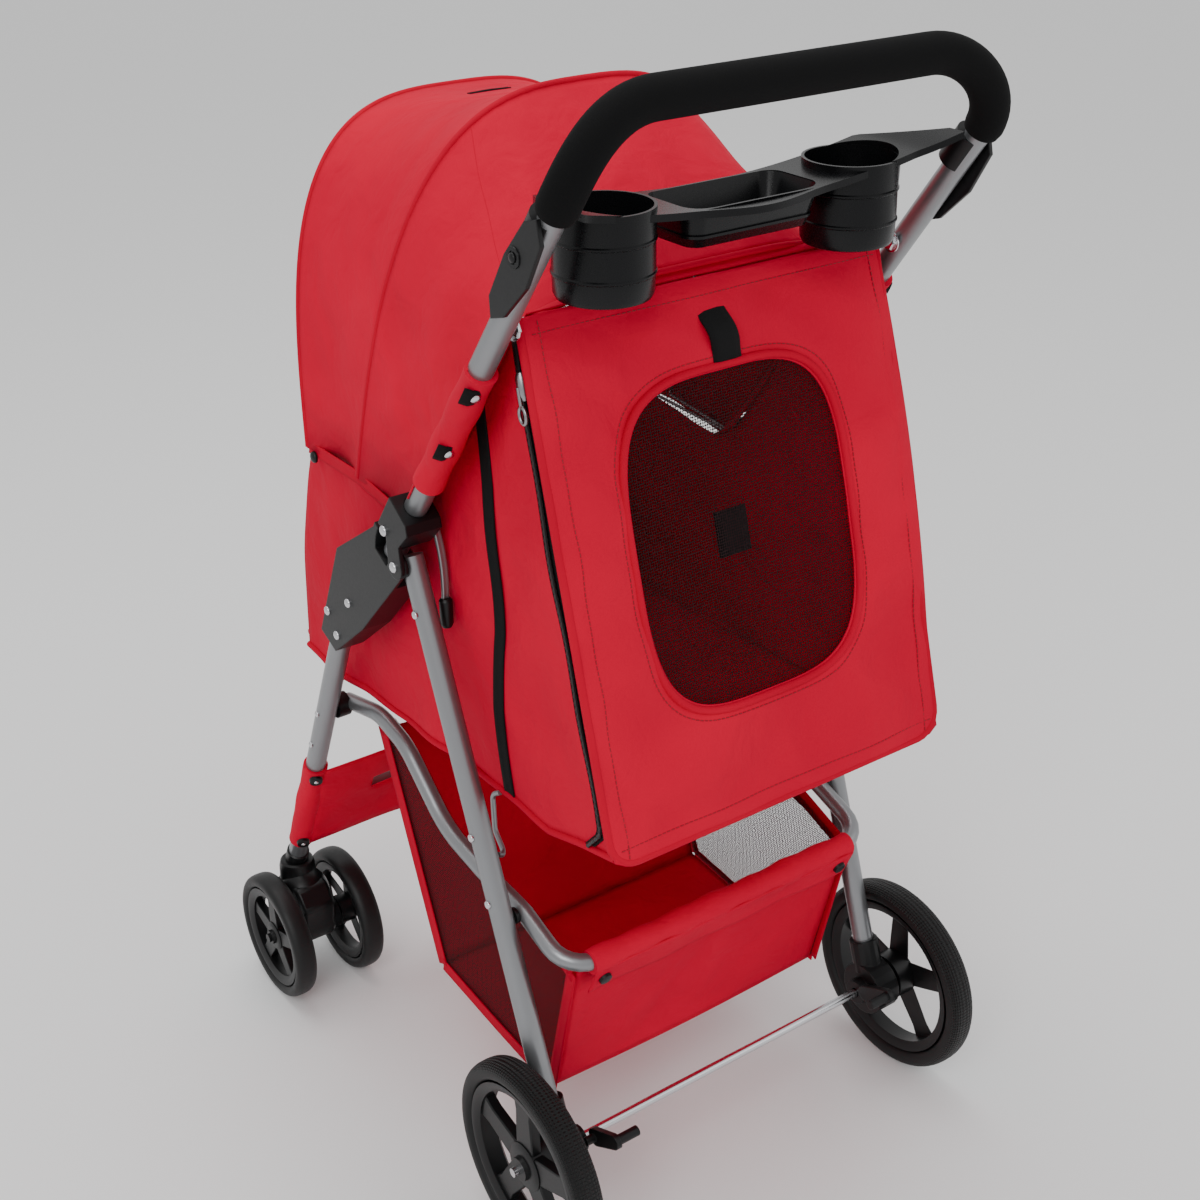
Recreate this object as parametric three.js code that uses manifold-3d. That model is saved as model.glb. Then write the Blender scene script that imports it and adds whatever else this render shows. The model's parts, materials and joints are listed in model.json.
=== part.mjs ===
// A four-wheeled pet stroller, in millimetres, +Z up.
// +X is the pusher's left, -Y is the way it travels and +Y is the side of the handle.
// The origin is on the floor, under the middle of the whole object.
// Steel frame: front legs, rear legs and basket tube are riveted into a triangle on each side.
// The handle turns back on the fold pins at the top of the rear legs.

import * as THREE from 'three';
import * as BufferGeometryUtils from 'three/addons/utils/BufferGeometryUtils.js';
import Module from 'manifold-3d';

const wasm = await Module();
wasm.setup();

// ---------------------------------------------------------------- driving sizes

const gap = 0.3;                 // between pieces that touch on the real object
const cloth = 2.2;               // thickness of every fabric wall
const tubeRadius = 9.5;          // legs and handle
const basketTubeRadius = 7.5;
const tubeWall = 1.3;
const legX = 188;                // centre plane of front legs, rear legs and handle tubes
const rearLegFootX = legX - 8;       // the rear legs lean in towards the axle

const rearWheel = { radius: 93, width: 27, x: legX + tubeRadius + 11.5, y: 204, tread: 17 };
const frontWheel = { radius: 65, width: 22, offset: 38, y: -232, tread: 13 };
const axleRadius = 4;
const boreClearance = 0.6;

const swivelY = -256;            // upright axis of each front caster
const casterTop = 130;
const frontFoot = { y: -252, z: 137 };   // lower end of a front leg's axis
const frontSlope = 0.456;                // its run in Y for each unit of Z
const foldPin = { y: 28, z: 577 };       // handle, rear leg and bracket meet here
const rearFoot = { y: 193, z: 121 };     // lower end of a rear leg's axis

const handleSlope = 0.7317;              // side tubes, run in Y for each unit of Z
const handleEnd = { y: -4, z: 570 };     // lower end of a handle tube's axis
const handleEndInset = 7;                // the tube stops this far short, inside the bracket's cup
const gripStartZ = 899;                  // lower ends of the foam grip; the corners start here
const handleBar = { y: 247, z: 962, straightX: 118 };
const gripRadius = 14.5;

const cabinX = 157;              // outside of the cabin's side walls
const canopyX = 167;             // outside of the canopy's sides
const doorX = 163;
const doorTop = { y: 157, z: 806 };
const doorFoot = { y: 267, z: 410 };
const doorThickness = 3;
const windowWidth = 205;
const windowHeight = 250;
const windowTop = 70;            // from the door's top edge, along the door
const windowCorner = 72;

const frontBow = { foot: { y: -186, z: 598 }, crest: { y: -190, z: 888 } };
const middleBow = { foot: { y: -95, z: 600 }, crest: { y: 0, z: 921 } };
const rearArch = { foot: { y: -20, z: 588 }, crest: { y: 150, z: 812 } };
const bowRadius = 1.5;
const frontBowX = 159.2;
const middleBowX = 163.2;
const canopyPin = { y: -13, z: 592 };    // bows turn on this pin, beside the pivot block

const floorThickness = 6;
const floorRear = 212;           // the stiff board ends short of the door

const tray = { y: 182, z: 872, halfX: legX - tubeRadius - 2.5, depth: 70, sag: 20, plate: 4, cornerCut: 50 };
const cup = { x: 112, radius: 36.5, wall: 2.5, bottomZ: 817 };
const bin = { halfX: 62, bottomZ: 843, wall: 2.5 };

const basketX = 149.5;           // outside of the basket's side panels
const basketTubeX = legX - 26;
const basketBar = { y: 196, z: 266 };

// ---------------------------------------------------------------- materials

function finish(color, roughness, metalness) {
  return new THREE.MeshStandardMaterial({ color, roughness, metalness });
}

const silver = () => finish(0x8f9194, 0.38, 0.55);
const chrome = () => finish(0xd8d8da, 0.12, 1.0);
const plastic = () => finish(0x16181a, 0.5, 0.0);
const foam = () => finish(0x0c0d0e, 0.92, 0.0);
const rubber = () => finish(0x121314, 0.75, 0.0);
const redCloth = () => finish(0xc21a30, 0.85, 0.0);
const blackMesh = () => finish(0x1c1014, 0.9, 0.0);
const board = () => finish(0x8e1626, 0.85, 0.0);

// ---------------------------------------------------------------- helpers

const group = new THREE.Group();
group.name = 'pet_stroller';

// Adds one named piece.
function add(name, geometry, material) {
  const mesh = new THREE.Mesh(geometry, material);
  mesh.name = name;
  group.add(mesh);
  return mesh;
}

// Side of the stroller: +1 is the pusher's left.
const sides = [
  { sign: 1, name: 'left' },
  { sign: -1, name: 'right' },
];

// A three.js geometry as a manifold solid.
function solid(geometry) {
  const bare = geometry.clone();
  bare.deleteAttribute('normal');
  bare.deleteAttribute('uv');
  const merged = BufferGeometryUtils.mergeVertices(bare, 1e-4);
  return new wasm.Manifold(new wasm.Mesh({
    numProp: 3,
    vertProperties: new Float32Array(merged.attributes.position.array),
    triVerts: new Uint32Array(merged.index.array),
  }));
}

// A manifold solid as a three.js geometry.
function shape3d(manifold) {
  const mesh = manifold.getMesh();
  const geometry = new THREE.BufferGeometry();
  geometry.setAttribute('position', new THREE.BufferAttribute(mesh.vertProperties, 3));
  geometry.setIndex(new THREE.BufferAttribute(mesh.triVerts, 1));
  geometry.computeVertexNormals();
  return geometry;
}

function union(...geometries) {
  return geometries.map(solid).reduce((a, b) => a.add(b));
}

// First geometry with all the others cut out of it.
function cut(body, ...tools) {
  return tools.map(solid).reduce((a, b) => a.subtract(b), body);
}

// A round rod between two points.
function rod(from, to, radius, segments = 16) {
  const axis = new THREE.Vector3().subVectors(to, from);
  const geometry = new THREE.CylinderGeometry(radius, radius, axis.length(), segments);
  const turn = new THREE.Quaternion().setFromUnitVectors(
    new THREE.Vector3(0, 1, 0), axis.clone().normalize());
  geometry.applyQuaternion(turn);
  geometry.translate((from.x + to.x) / 2, (from.y + to.y) / 2, (from.z + to.z) / 2);
  return geometry;
}

// A round rod along X.
function rodX(x0, x1, y, z, radius, segments = 24) {
  return rod(new THREE.Vector3(x0, y, z), new THREE.Vector3(x1, y, z), radius, segments);
}

// A line through given points, for sweeping: one step of the sweep for each pair of points.
class BentLine extends THREE.Curve {
  constructor(points) {
    super();
    this.points = points;
  }

  getPoint(t, target = new THREE.Vector3()) {
    const place = t * (this.points.length - 1);
    const i = Math.min(Math.floor(place + 1e-6), this.points.length - 2);
    return target.copy(this.points[i]).lerp(this.points[i + 1], place - i);
  }

  getPointAt(t, target) {
    return this.getPoint(t, target);
  }

  getTangent(t, target = new THREE.Vector3()) {
    const i = Math.round(t * (this.points.length - 1));
    const before = this.points[Math.max(i - 1, 0)];
    const here = this.points[i];
    const after = this.points[Math.min(i + 1, this.points.length - 1)];
    const into = here.clone().sub(before).normalize();
    const away = after.clone().sub(here).normalize();
    return target.copy(into).add(away).normalize();
  }

  getTangentAt(t, target) {
    return this.getTangent(t, target);
  }
}

// Corner points with each bend rounded to its own radius.
function rounded(points, radii, perBend = 5) {
  const line = [points[0]];
  for (let i = 1; i < points.length - 1; i++) {
    const before = points[i].clone().sub(points[i - 1]).normalize();
    const after = points[i + 1].clone().sub(points[i]).normalize();
    const turn = before.angleTo(after);
    const radius = radii[i - 1];
    const start = points[i].clone().addScaledVector(before, -radius * Math.tan(turn / 2));
    const inward = after.clone().addScaledVector(before, -after.dot(before)).normalize();
    for (let k = 0; k <= perBend; k++) {
      const angle = turn * k / perBend;
      line.push(start.clone().addScaledVector(before, radius * Math.sin(angle))
        .addScaledVector(inward, radius * (1 - Math.cos(angle))));
    }
  }
  line.push(points[points.length - 1]);
  return line;
}

// A tube along a line of points; bore 0 makes it solid.
function pipe(points, radius, bore, half = 6) {
  const section = new THREE.Shape();
  section.absarc(0, 0, radius, 0, Math.PI * 2, false);
  if (bore > 0) {
    const hole = new THREE.Path();
    hole.absarc(0, 0, bore, 0, Math.PI * 2, true);
    section.holes.push(hole);
  }
  return new THREE.ExtrudeGeometry(section, {
    steps: points.length - 1, extrudePath: new BentLine(points), curveSegments: half,
    bevelEnabled: false,
  });
}

// An outline in the YZ plane, given thickness from x0 to x1.
function plateX(outline, x0, x1, holes = []) {
  const shape = new THREE.Shape(outline.map(([y, z]) => new THREE.Vector2(y, z)));
  for (const hole of holes) {
    shape.holes.push(new THREE.Path(hole.map(([y, z]) => new THREE.Vector2(y, z))));
  }
  const geometry = new THREE.ExtrudeGeometry(shape, {
    depth: x1 - x0, steps: 1, curveSegments: 12, bevelEnabled: false,
  });
  const toYZ = new THREE.Matrix4().set(0, 0, 1, x0, 1, 0, 0, 0, 0, 1, 0, 0, 0, 0, 0, 1);
  geometry.applyMatrix4(toYZ);
  return geometry;
}

// The same plate on either side: x is the distance from the middle plane.
function sidePlate(sign, outline, inner, outer, holes = []) {
  return sign > 0 ? plateX(outline, inner, outer, holes) : plateX(outline, -outer, -inner, holes);
}

// Points of an arc, angles in degrees from +Y towards +Z.
function arc(y, z, radius, start, end, count) {
  const points = [];
  for (let i = 0; i <= count; i++) {
    const angle = THREE.MathUtils.degToRad(start + (end - start) * i / count);
    points.push([y + radius * Math.cos(angle), z + radius * Math.sin(angle)]);
  }
  return points;
}

// Frame of a panel between two lines that run across the stroller: x stays, y runs from
// `top` to `foot`, and z points out of the panel's outer face, to the rear and up.
function panelFrame(top, foot) {
  const across = new THREE.Vector3(1, 0, 0);
  const along = new THREE.Vector3(0, foot.y - top.y, foot.z - top.z).normalize();
  const out = new THREE.Vector3().crossVectors(across, along);
  return new THREE.Matrix4().makeBasis(across, along, out).setPosition(0, top.y, top.z);
}

// A flat panel in such a frame, from an outline of (x, distance from the top); its outer
// face lies `depth` under the frame's own plane.
function panelAcross(top, foot, outline, thickness, depth = 0) {
  const geometry = new THREE.ExtrudeGeometry(outline, {
    depth: thickness, bevelEnabled: false, curveSegments: 6,
  });
  geometry.translate(0, 0, -thickness - depth);
  geometry.applyMatrix4(panelFrame(top, foot));
  return geometry;
}

function rectangle(halfX, length) {
  return new THREE.Shape([
    new THREE.Vector2(-halfX, 0), new THREE.Vector2(halfX, 0),
    new THREE.Vector2(halfX, length), new THREE.Vector2(-halfX, length),
  ]);
}

// Rounded oblong hole or outline, centred on x = 0, from v0 to v1 along the panel.
function oblong(Kind, width, v0, v1, corner) {
  const path = new Kind();
  const half = width / 2;
  path.moveTo(-half + corner, v0);
  path.lineTo(half - corner, v0);
  path.absarc(half - corner, v0 + corner, corner, -Math.PI / 2, 0, false);
  path.lineTo(half, v1 - corner);
  path.absarc(half - corner, v1 - corner, corner, 0, Math.PI / 2, false);
  path.lineTo(-half + corner, v1);
  path.absarc(-half + corner, v1 - corner, corner, Math.PI / 2, Math.PI, false);
  path.lineTo(-half, v0 + corner);
  path.absarc(-half + corner, v0 + corner, corner, Math.PI, Math.PI * 1.5, false);
  return path;
}

// Points on a straight leg: distance u along it and v square to it, towards the rear.
function alongLine(origin, slope) {
  const length = Math.hypot(slope, 1);
  const up = [slope / length, 1 / length];
  const back = [up[1], -up[0]];
  return (u, v) => [origin.y + u * up[0] + v * back[0], origin.z + u * up[1] + v * back[1]];
}

// ---------------------------------------------------------------- front legs

const onFrontLeg = alongLine(frontFoot, frontSlope);
const frontLegLength = 442;
const bracketFootU = 345;        // the fold bracket's sleeve starts here
const legPoint = (x, place) => new THREE.Vector3(x, place[0], place[1]);

function frontLeg(sign) {
  const foot = legPoint(sign * legX, onFrontLeg(0, 0));
  const top = legPoint(sign * legX, onFrontLeg(frontLegLength, 0));
  return pipe([foot, top], tubeRadius, tubeRadius - tubeWall, 8);
}

const crossBarU = 86;
const crossBarRadius = 7;

function frontCrossBar() {
  const [y, z] = onFrontLeg(crossBarU, 0);
  const end = legX - tubeRadius - gap;
  return rodX(-end, end, y, z, crossBarRadius, 16);
}

// Fabric foot guard behind the cross bar, with a long slot.
const band = { u0: 30, u1: 152, v: 10, slotHalfX: 128, slotHalfU: 9, slotU: 102, slotRound: 8 };

function frontBand() {
  const place = (u) => {
    const [y, z] = onFrontLeg(u, band.v + cloth);
    return { y, z };
  };
  const middle = band.u1 - band.slotU;
  const outline = rectangle(legX - tubeRadius - gap * 4, band.u1 - band.u0);
  outline.holes.push(oblong(THREE.Path, band.slotHalfX * 2, middle - band.slotHalfU,
    middle + band.slotHalfU, band.slotRound));
  return panelAcross(place(band.u1), place(band.u0), outline, cloth);
}

// ---------------------------------------------------------------- fold brackets

const bracketHalf = 13.5;        // half width of the sleeve round the front leg
const lugInner = legX + tubeRadius + 0.9;
const lug = { inner: lugInner, outer: lugInner + 2.8, radius: 11 };
const cupClearance = 1;
const onHandle = alongLine(handleEnd, handleSlope);

// Reach from the fold pin to a point of the handle tube's end, for the cup it swings out of.
const cupReach = Math.hypot(
  onHandle(handleEndInset, -tubeRadius)[0] - foldPin.y,
  onHandle(handleEndInset, -tubeRadius)[1] - foldPin.z) + cupClearance;

// Sleeve on the front leg, a cup that holds the handle's end, and a lug to the fold pin.
function foldBracket(sign) {
  const sleeveTop = frontLegLength + 8;
  const outline = [
    onFrontLeg(bracketFootU, -bracketHalf),
    onFrontLeg(sleeveTop, -bracketHalf),
    ...arc(foldPin.y, foldPin.z, cupReach + 6, 152, 144, 2),
    ...arc(foldPin.y, foldPin.z, cupReach, 144, 178, 6),
    onHandle(handleEndInset - cupClearance, tubeRadius + cupClearance),
    ...arc(foldPin.y, foldPin.z, lug.radius, 150, -75, 8),
    onFrontLeg(bracketFootU + 62, 44),
    onFrontLeg(bracketFootU + 8, bracketHalf + 4),
    onFrontLeg(bracketFootU, bracketHalf),
  ];
  const body = sidePlate(sign, outline.reverse(), legX - tubeRadius - 4.5, lug.outer);
  const room = sidePlate(sign, [
    ...arc(foldPin.y, foldPin.z, 30, -112, 118, 10),
    [foldPin.y - 20, foldPin.z + 12], [foldPin.y - 19.5, foldPin.z - 5],
    [foldPin.y - 12, foldPin.z - 16],
  ], legX - 20, lug.inner);
  const bore = rod(legPoint(sign * legX, onFrontLeg(bracketFootU - 20, 0)),
    legPoint(sign * legX, onFrontLeg(sleeveTop + 40, 0)), tubeRadius + gap, 20);
  return shape3d(cut(solid(body), room, bore));
}

// ---------------------------------------------------------------- rear legs and axle

const rearLegTopExtra = 5;
const rearSlope = (rearFoot.y - foldPin.y) / (rearFoot.z - foldPin.z);

function rearLegAxis(sign) {
  const top = new THREE.Vector3(sign * legX, foldPin.y, foldPin.z);
  const foot = new THREE.Vector3(sign * rearLegFootX, rearFoot.y, rearFoot.z);
  const up = new THREE.Vector3().subVectors(top, foot).normalize();
  return { foot, top: top.clone().addScaledVector(up, rearLegTopExtra), up };
}

function rearLeg(sign) {
  const { foot, top } = rearLegAxis(sign);
  return pipe([foot, top], tubeRadius, tubeRadius - tubeWall, 8);
}

const rearHub = { halfWidth: 15, radius: 19 };

function rearAxle() {
  const reach = rearWheel.x + rearHub.halfWidth + 4;
  return rodX(-reach, reach, rearWheel.y, rearWheel.radius, axleRadius, 16);
}

const housing = { inner: rearLegFootX - 22, outer: rearLegFootX + 11, radius: 25 };

// Moulded block that holds the rear leg's end and the axle.
function brakeHousing(sign) {
  const { foot, up } = rearLegAxis(sign);
  const { y, radius: z } = rearWheel;
  const neck = rod(foot.clone().addScaledVector(up, -14), foot.clone().addScaledVector(up, 16),
    tubeRadius + 4, 16);
  const drum = rodX(sign * (housing.inner + 9), sign * housing.outer, y, z, housing.radius, 20);
  const collar = rodX(sign * housing.inner, sign * (housing.inner + 12), y, z, 12, 16);
  const body = union(neck, drum, collar);
  const socket = rod(foot.clone().addScaledVector(up, -gap), foot.clone().addScaledVector(up, 40),
    tubeRadius + gap, 20);
  const bore = rodX(sign * (housing.inner - 5), sign * (housing.outer + 5), y, z,
    axleRadius + boreClearance, 16);
  return shape3d(cut(body, socket, bore));
}

const brakePivot = { y: 222, z: 106 };
const pedal = { y: 249, z: 121, radius: 4.5, length: 20 };

// Lever beside the housing, with a round peg for the foot.
function brakeLever(sign) {
  const inner = housing.inner - 6;
  const outer = housing.inner - 1;
  const lever = [
    ...arc(brakePivot.y, brakePivot.z, 8, 119, 299, 8),
    ...arc(pedal.y, pedal.z, 6.5, -61, 119, 8),
  ];
  const peg = rodX(sign * (inner - pedal.length), sign * outer, pedal.y, pedal.z, pedal.radius, 16);
  const hub = rodX(sign * outer, sign * (housing.inner + 8), brakePivot.y, brakePivot.z, 4, 16);
  const body = union(sidePlate(sign, lever, inner, outer), peg, hub);
  const axleRoom = rodX(sign * (inner - 5), sign * (outer + 1), rearWheel.y, rearWheel.radius,
    12 + gap, 24);
  return shape3d(cut(body, axleRoom));
}

// ---------------------------------------------------------------- wheels

// Ring turned about X with a rounded tread, from its inner radius to its tread.
function tyre(radius, inner, width) {
  const half = width / 2;
  const soft = Math.min(half * 0.6, 8);
  const shoulder = soft * Math.SQRT1_2;
  const profile = [
    new THREE.Vector2(inner, -half * 0.8),
    new THREE.Vector2(radius - soft, -half),
    new THREE.Vector2(radius - soft + shoulder, -half + soft - shoulder),
    new THREE.Vector2(radius, -half + soft),
    new THREE.Vector2(radius, half - soft),
    new THREE.Vector2(radius - soft + shoulder, half - soft + shoulder),
  ];
  profile.push(new THREE.Vector2(radius - soft, half));
  profile.push(new THREE.Vector2(inner, half * 0.8));
  profile.push(new THREE.Vector2(inner, -half * 0.8));
  const geometry = new THREE.LatheGeometry(profile, 24);
  geometry.rotateZ(-Math.PI / 2);
  return geometry;
}

// Moulded wheel: rim, spokes that widen towards the rim, and a hub with a bore.
function wheelHub(rimRadius, rimWall, width, hubRadius, hubHalf, spokes, spokeWidth) {
  const rim = solid(rodX(-width / 2, width / 2, 0, 0, rimRadius, 24))
    .subtract(solid(rodX(-width, width, 0, 0, rimRadius - rimWall, 24)));
  let body = rim.add(solid(rodX(-hubHalf, hubHalf, 0, 0, hubRadius, 16)));
  for (let i = 0; i < spokes; i++) {
    const spoke = plateX([
      [-spokeWidth * 0.55, 0], [-spokeWidth * 0.72, rimRadius - rimWall / 2],
      [spokeWidth * 0.72, rimRadius - rimWall / 2], [spokeWidth * 0.55, 0],
    ], -width * 0.22, width * 0.22);
    spoke.rotateX(Math.PI * 2 * i / spokes);
    body = body.add(solid(spoke));
  }
  const bore = rodX(-hubHalf * 2, hubHalf * 2, 0, 0, axleRadius + boreClearance, 12);
  return shape3d(cut(body, bore));
}

function addWheel(name, x, y, wheel, spokes, hubRadius, hubHalf) {
  const rim = wheel.radius - wheel.tread;
  const tread = tyre(wheel.radius, rim + gap, wheel.width);
  tread.translate(x, y, wheel.radius);
  add(`${name}_tyre`, tread, rubber());
  const hub = wheelHub(rim, 7, wheel.width * 0.82, hubRadius, hubHalf, spokes, hubRadius * 0.85);
  hub.translate(x, y, wheel.radius);
  add(`${name}_hub`, hub, plastic());
}

// ---------------------------------------------------------------- front casters

const casterAxleHalf = frontWheel.offset + frontWheel.width / 2 + 2;
const casterHubHalf = 10.5;
const casterBodyHalf = frontWheel.offset - casterHubHalf - 1.5;

// Domed swivel housing between the two wheels of a caster.
function casterHousing(sign) {
  const x = sign * legX;
  const { y, radius: z } = frontWheel;
  const dome = rod(new THREE.Vector3(x, swivelY, z + 20),
    new THREE.Vector3(x, swivelY, casterTop), 17, 16);
  const cap = new THREE.SphereGeometry(31, 14, 8);
  cap.scale(casterBodyHalf / 31, 1.1, 0.95);
  cap.translate(x, (swivelY + y) / 2 - 2, z + 24);
  const outline = [
    ...arc(y, z, 19, -150, 20, 10),
    [y + 24, z + 30], [swivelY - 22, z + 42], [swivelY - 26, z + 20],
  ];
  const web = plateX(outline, x - casterBodyHalf * 0.72, x + casterBodyHalf * 0.72);
  const hub = rodX(x - casterBodyHalf, x + casterBodyHalf, y, z, 17, 24);
  const bore = rodX(x - 60, x + 60, y, z, axleRadius + boreClearance, 16);
  return shape3d(cut(union(dome, cap, web, hub), bore));
}

// ---------------------------------------------------------------- basket tube and basket

const frontRivet = onFrontLeg(237, 0);
const rearRivet = { y: 132, z: 288 };

// U-shaped tube: both sides rise behind the front legs, dip, and run to the rear bar.
function basketTube() {
  const half = [
    [basketTubeX, frontRivet[0] - 6, frontRivet[1] - 1],
    [basketTubeX, -98, 367],
    [basketTubeX, -52, 356],
    [basketTubeX, 12, 303],
    [basketTubeX, 70, 293],
    [basketTubeX, rearRivet.y, rearRivet.z],
    [basketTubeX, basketBar.y, basketBar.z],
  ];
  const left = half.map(([x, y, z]) => new THREE.Vector3(x, y, z));
  const right = half.map(([x, y, z]) => new THREE.Vector3(-x, y, z)).reverse();
  const bends = [60, 60, 80, 60, 30, 28, 28, 30, 60, 80, 60, 60];
  const line = rounded([...left, ...right], bends, 3);
  return pipe(line, basketTubeRadius, basketTubeRadius - tubeWall, 4);
}

// Round spacer between the rear leg and the basket tube.
function rearBush(sign) {
  const share = (rearRivet.z - rearFoot.z) / (foldPin.z - rearFoot.z);
  const legHere = rearLegFootX + (legX - rearLegFootX) * share;
  return rodX(sign * (basketTubeX + basketTubeRadius + gap),
    sign * (legHere - tubeRadius - gap * 2), rearRivet.y, rearRivet.z, 7, 16);
}

const basket = {
  frontTop: [-118, 338], frontFoot: [-30, 122], rearFoot: [150, 106], rearTop: [180, 244],
};

function basketSide(sign) {
  const outline = [
    basket.frontTop, basket.frontFoot, basket.rearFoot, basket.rearTop,
    [126, 272], [66, 280], [6, 292], [-58, 342], [-92, 352],
  ];
  return sidePlate(sign, outline, basketX - cloth, basketX);
}

const basketInnerX = basketX - cloth - gap;

// A flat strip of cloth across the basket, between two points of its side profile.
function acrossBasket(from, to, inward) {
  const run = [to[0] - from[0], to[1] - from[1]];
  const length = Math.hypot(...run);
  const side = [-run[1] / length * inward, run[0] / length * inward];
  const outline = [from, to,
    [to[0] + side[0] * cloth, to[1] + side[1] * cloth],
    [from[0] + side[0] * cloth, from[1] + side[1] * cloth]];
  return plateX(inward > 0 ? outline : outline.reverse(), -basketInnerX, basketInnerX);
}

function basketPanels() {
  const [frontY, frontZ] = basket.frontFoot;
  const [rearY, rearZ] = basket.rearFoot;
  const lift = cloth + gap;
  add('basket_floor', acrossBasket([frontY + 4, frontZ], [rearY - 4, rearZ], 1), redCloth());
  add('basket_front', acrossBasket([frontY, frontZ + lift], basket.frontTop, -1), redCloth());
  add('basket_rear', acrossBasket([rearY, rearZ + lift], basket.rearTop, 1), redCloth());
}

// ---------------------------------------------------------------- handle

// Line of the handle, from its left lower end to its right one: straight arms, then a corner
// on each side that turns upright and inwards together.
function handleLine(start) {
  const armEnd = new THREE.Vector3(legX,
    handleEnd.y + handleSlope * (gripStartZ - handleEnd.z), gripStartZ);
  const armDirection = new THREE.Vector3(0, handleSlope, 1).normalize();
  const barEnd = new THREE.Vector3(handleBar.straightX, handleBar.y, handleBar.z);
  const corner = new THREE.CubicBezierCurve3(
    armEnd,
    armEnd.clone().addScaledVector(armDirection, 36),
    barEnd.clone().setX(handleBar.straightX + 42),
    barEnd);
  const left = [...start, ...corner.getPoints(8)];
  const right = left.map((p) => new THREE.Vector3(-p.x, p.y, p.z)).reverse();
  return [...left, ...right];
}

function handleTube() {
  const start = legPoint(legX, onHandle(handleEndInset, 0));
  return pipe(handleLine([start]), tubeRadius, tubeRadius - tubeWall, 7);
}

function handleGrip() {
  return pipe(handleLine([]), gripRadius, tubeRadius + 1, 7);
}

const blockU = { start: 36, end: 72 };   // the pivot block's place on the handle tube
const blockOuter = lug.outer + gap + 3.5;
const blockInner = legX - tubeRadius - 5;

// Block clamped on the handle tube, with an outer cheek that reaches the fold pin.
function pivotBlock(sign) {
  const outline = [
    onHandle(blockU.start, -14), onHandle(blockU.start + 4, 16),
    onHandle(blockU.end - 6, 20), onHandle(blockU.end, 14), onHandle(blockU.end, -14),
  ];
  const body = sidePlate(sign, outline.reverse(), blockInner, blockOuter);
  const cheek = [
    ...arc(foldPin.y, foldPin.z, lug.radius, -150, 20, 8),
    onHandle(blockU.start + 12, 14), onHandle(blockU.start + 12, -9),
  ];
  const plate = sidePlate(sign, cheek, lug.outer + gap, blockOuter);
  const bore = rod(legPoint(sign * legX, onHandle(0, 0)), legPoint(sign * legX, onHandle(120, 0)),
    tubeRadius + gap, 24);
  return shape3d(cut(union(body, plate), bore));
}

const latchPin = { y: 44, z: 533 };
const latchX = blockInner - 4.5;

// Bowed catch on the inside of the rear leg; its upper end hooks on the pivot block.
function latchStrip(sign) {
  const x = sign * latchX;
  const path = new THREE.QuadraticBezierCurve3(
    new THREE.Vector3(x, latchPin.y - 2, latchPin.z + 4),
    new THREE.Vector3(x, latchPin.y + 6, latchPin.z + 52),
    new THREE.Vector3(x, latchPin.y - 20, latchPin.z + 86));
  const strip = solid(pipe(path.getPoints(7), 3.2, 0, 4));
  const cap = rod(new THREE.Vector3(x, latchPin.y - 1, latchPin.z - 14),
    new THREE.Vector3(x, latchPin.y, latchPin.z + 10), 5.5, 20);
  const stub = rodX(x, sign * (legX - tubeRadius - 1.5), latchPin.y, latchPin.z, 4, 16);
  return shape3d(strip.add(solid(cap)).add(solid(stub)));
}

const wirePlace = { y: 151, z: 802, radius: 2 };

// Bright wire between the handle tubes, at the top of the rear door.
function crossWire() {
  const end = legX - tubeRadius - 3;
  const line = rodX(-end, end, wirePlace.y, wirePlace.z, wirePlace.radius, 10);
  const eyes = sides.map(({ sign }) => rodX(sign * (end - 2), sign * (end + 1.5),
    wirePlace.y + 4, wirePlace.z, 6.5, 20));
  return shape3d(union(line, ...eyes));
}

// ---------------------------------------------------------------- tray

const aboveAll = 1000;           // a height clear above the rim, for cutting tools
const trayEdge = 2;              // rim left in front of and behind the bin
const binCorner = 14;

// Height of the tray's rim: lowest in the middle, rising to each handle tube.
const rimZ = (x) => tray.z + tray.sag * (x / tray.halfX) ** 2;

function trayBody() {
  const steps = 16;
  const top = [];
  const under = [];
  for (let i = 0; i <= steps; i++) {
    const x = tray.halfX * (2 * i / steps - 1);
    top.push(new THREE.Vector2(x, rimZ(x)));
    under.unshift(new THREE.Vector2(x, rimZ(x) - tray.plate));
  }
  const rim = new THREE.ExtrudeGeometry(new THREE.Shape([...under.reverse(), ...top.reverse()]), {
    depth: tray.depth, bevelEnabled: false, steps: 1,
  });
  rim.rotateX(Math.PI / 2);
  rim.translate(0, tray.y + tray.depth / 2, 0);
  let body = solid(rim);
  for (const { sign } of sides) {
    body = body.add(solid(cupRound(sign, cup.radius, cup.bottomZ, rimZ(cup.x))));
  }
  body = body.add(solid(binRound(0, bin.bottomZ, tray.z)));
  for (const { sign } of sides) {
    body = body.subtract(solid(cupRound(sign, cup.radius - cup.wall, cup.bottomZ + cup.wall, aboveAll)));
  }
  for (const { sign } of sides) {
    body = body.subtract(solid(rimCorner(sign)));
  }
  return shape3d(body.subtract(solid(binRound(bin.wall, bin.bottomZ + bin.wall, aboveAll))));
}

// Wedge cut off the rim's front corner, so that the rim narrows towards the handle tube.
function rimCorner(sign) {
  const front = tray.y - tray.depth / 2;
  const corner = new THREE.Shape([
    new THREE.Vector2(sign * (cup.x + cup.radius), front - 1),
    new THREE.Vector2(sign * (tray.halfX + 1), front - 1),
    new THREE.Vector2(sign * (tray.halfX + 1), front + tray.cornerCut),
  ]);
  const geometry = new THREE.ExtrudeGeometry(corner, { depth: aboveAll, bevelEnabled: false });
  return geometry;
}

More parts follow.
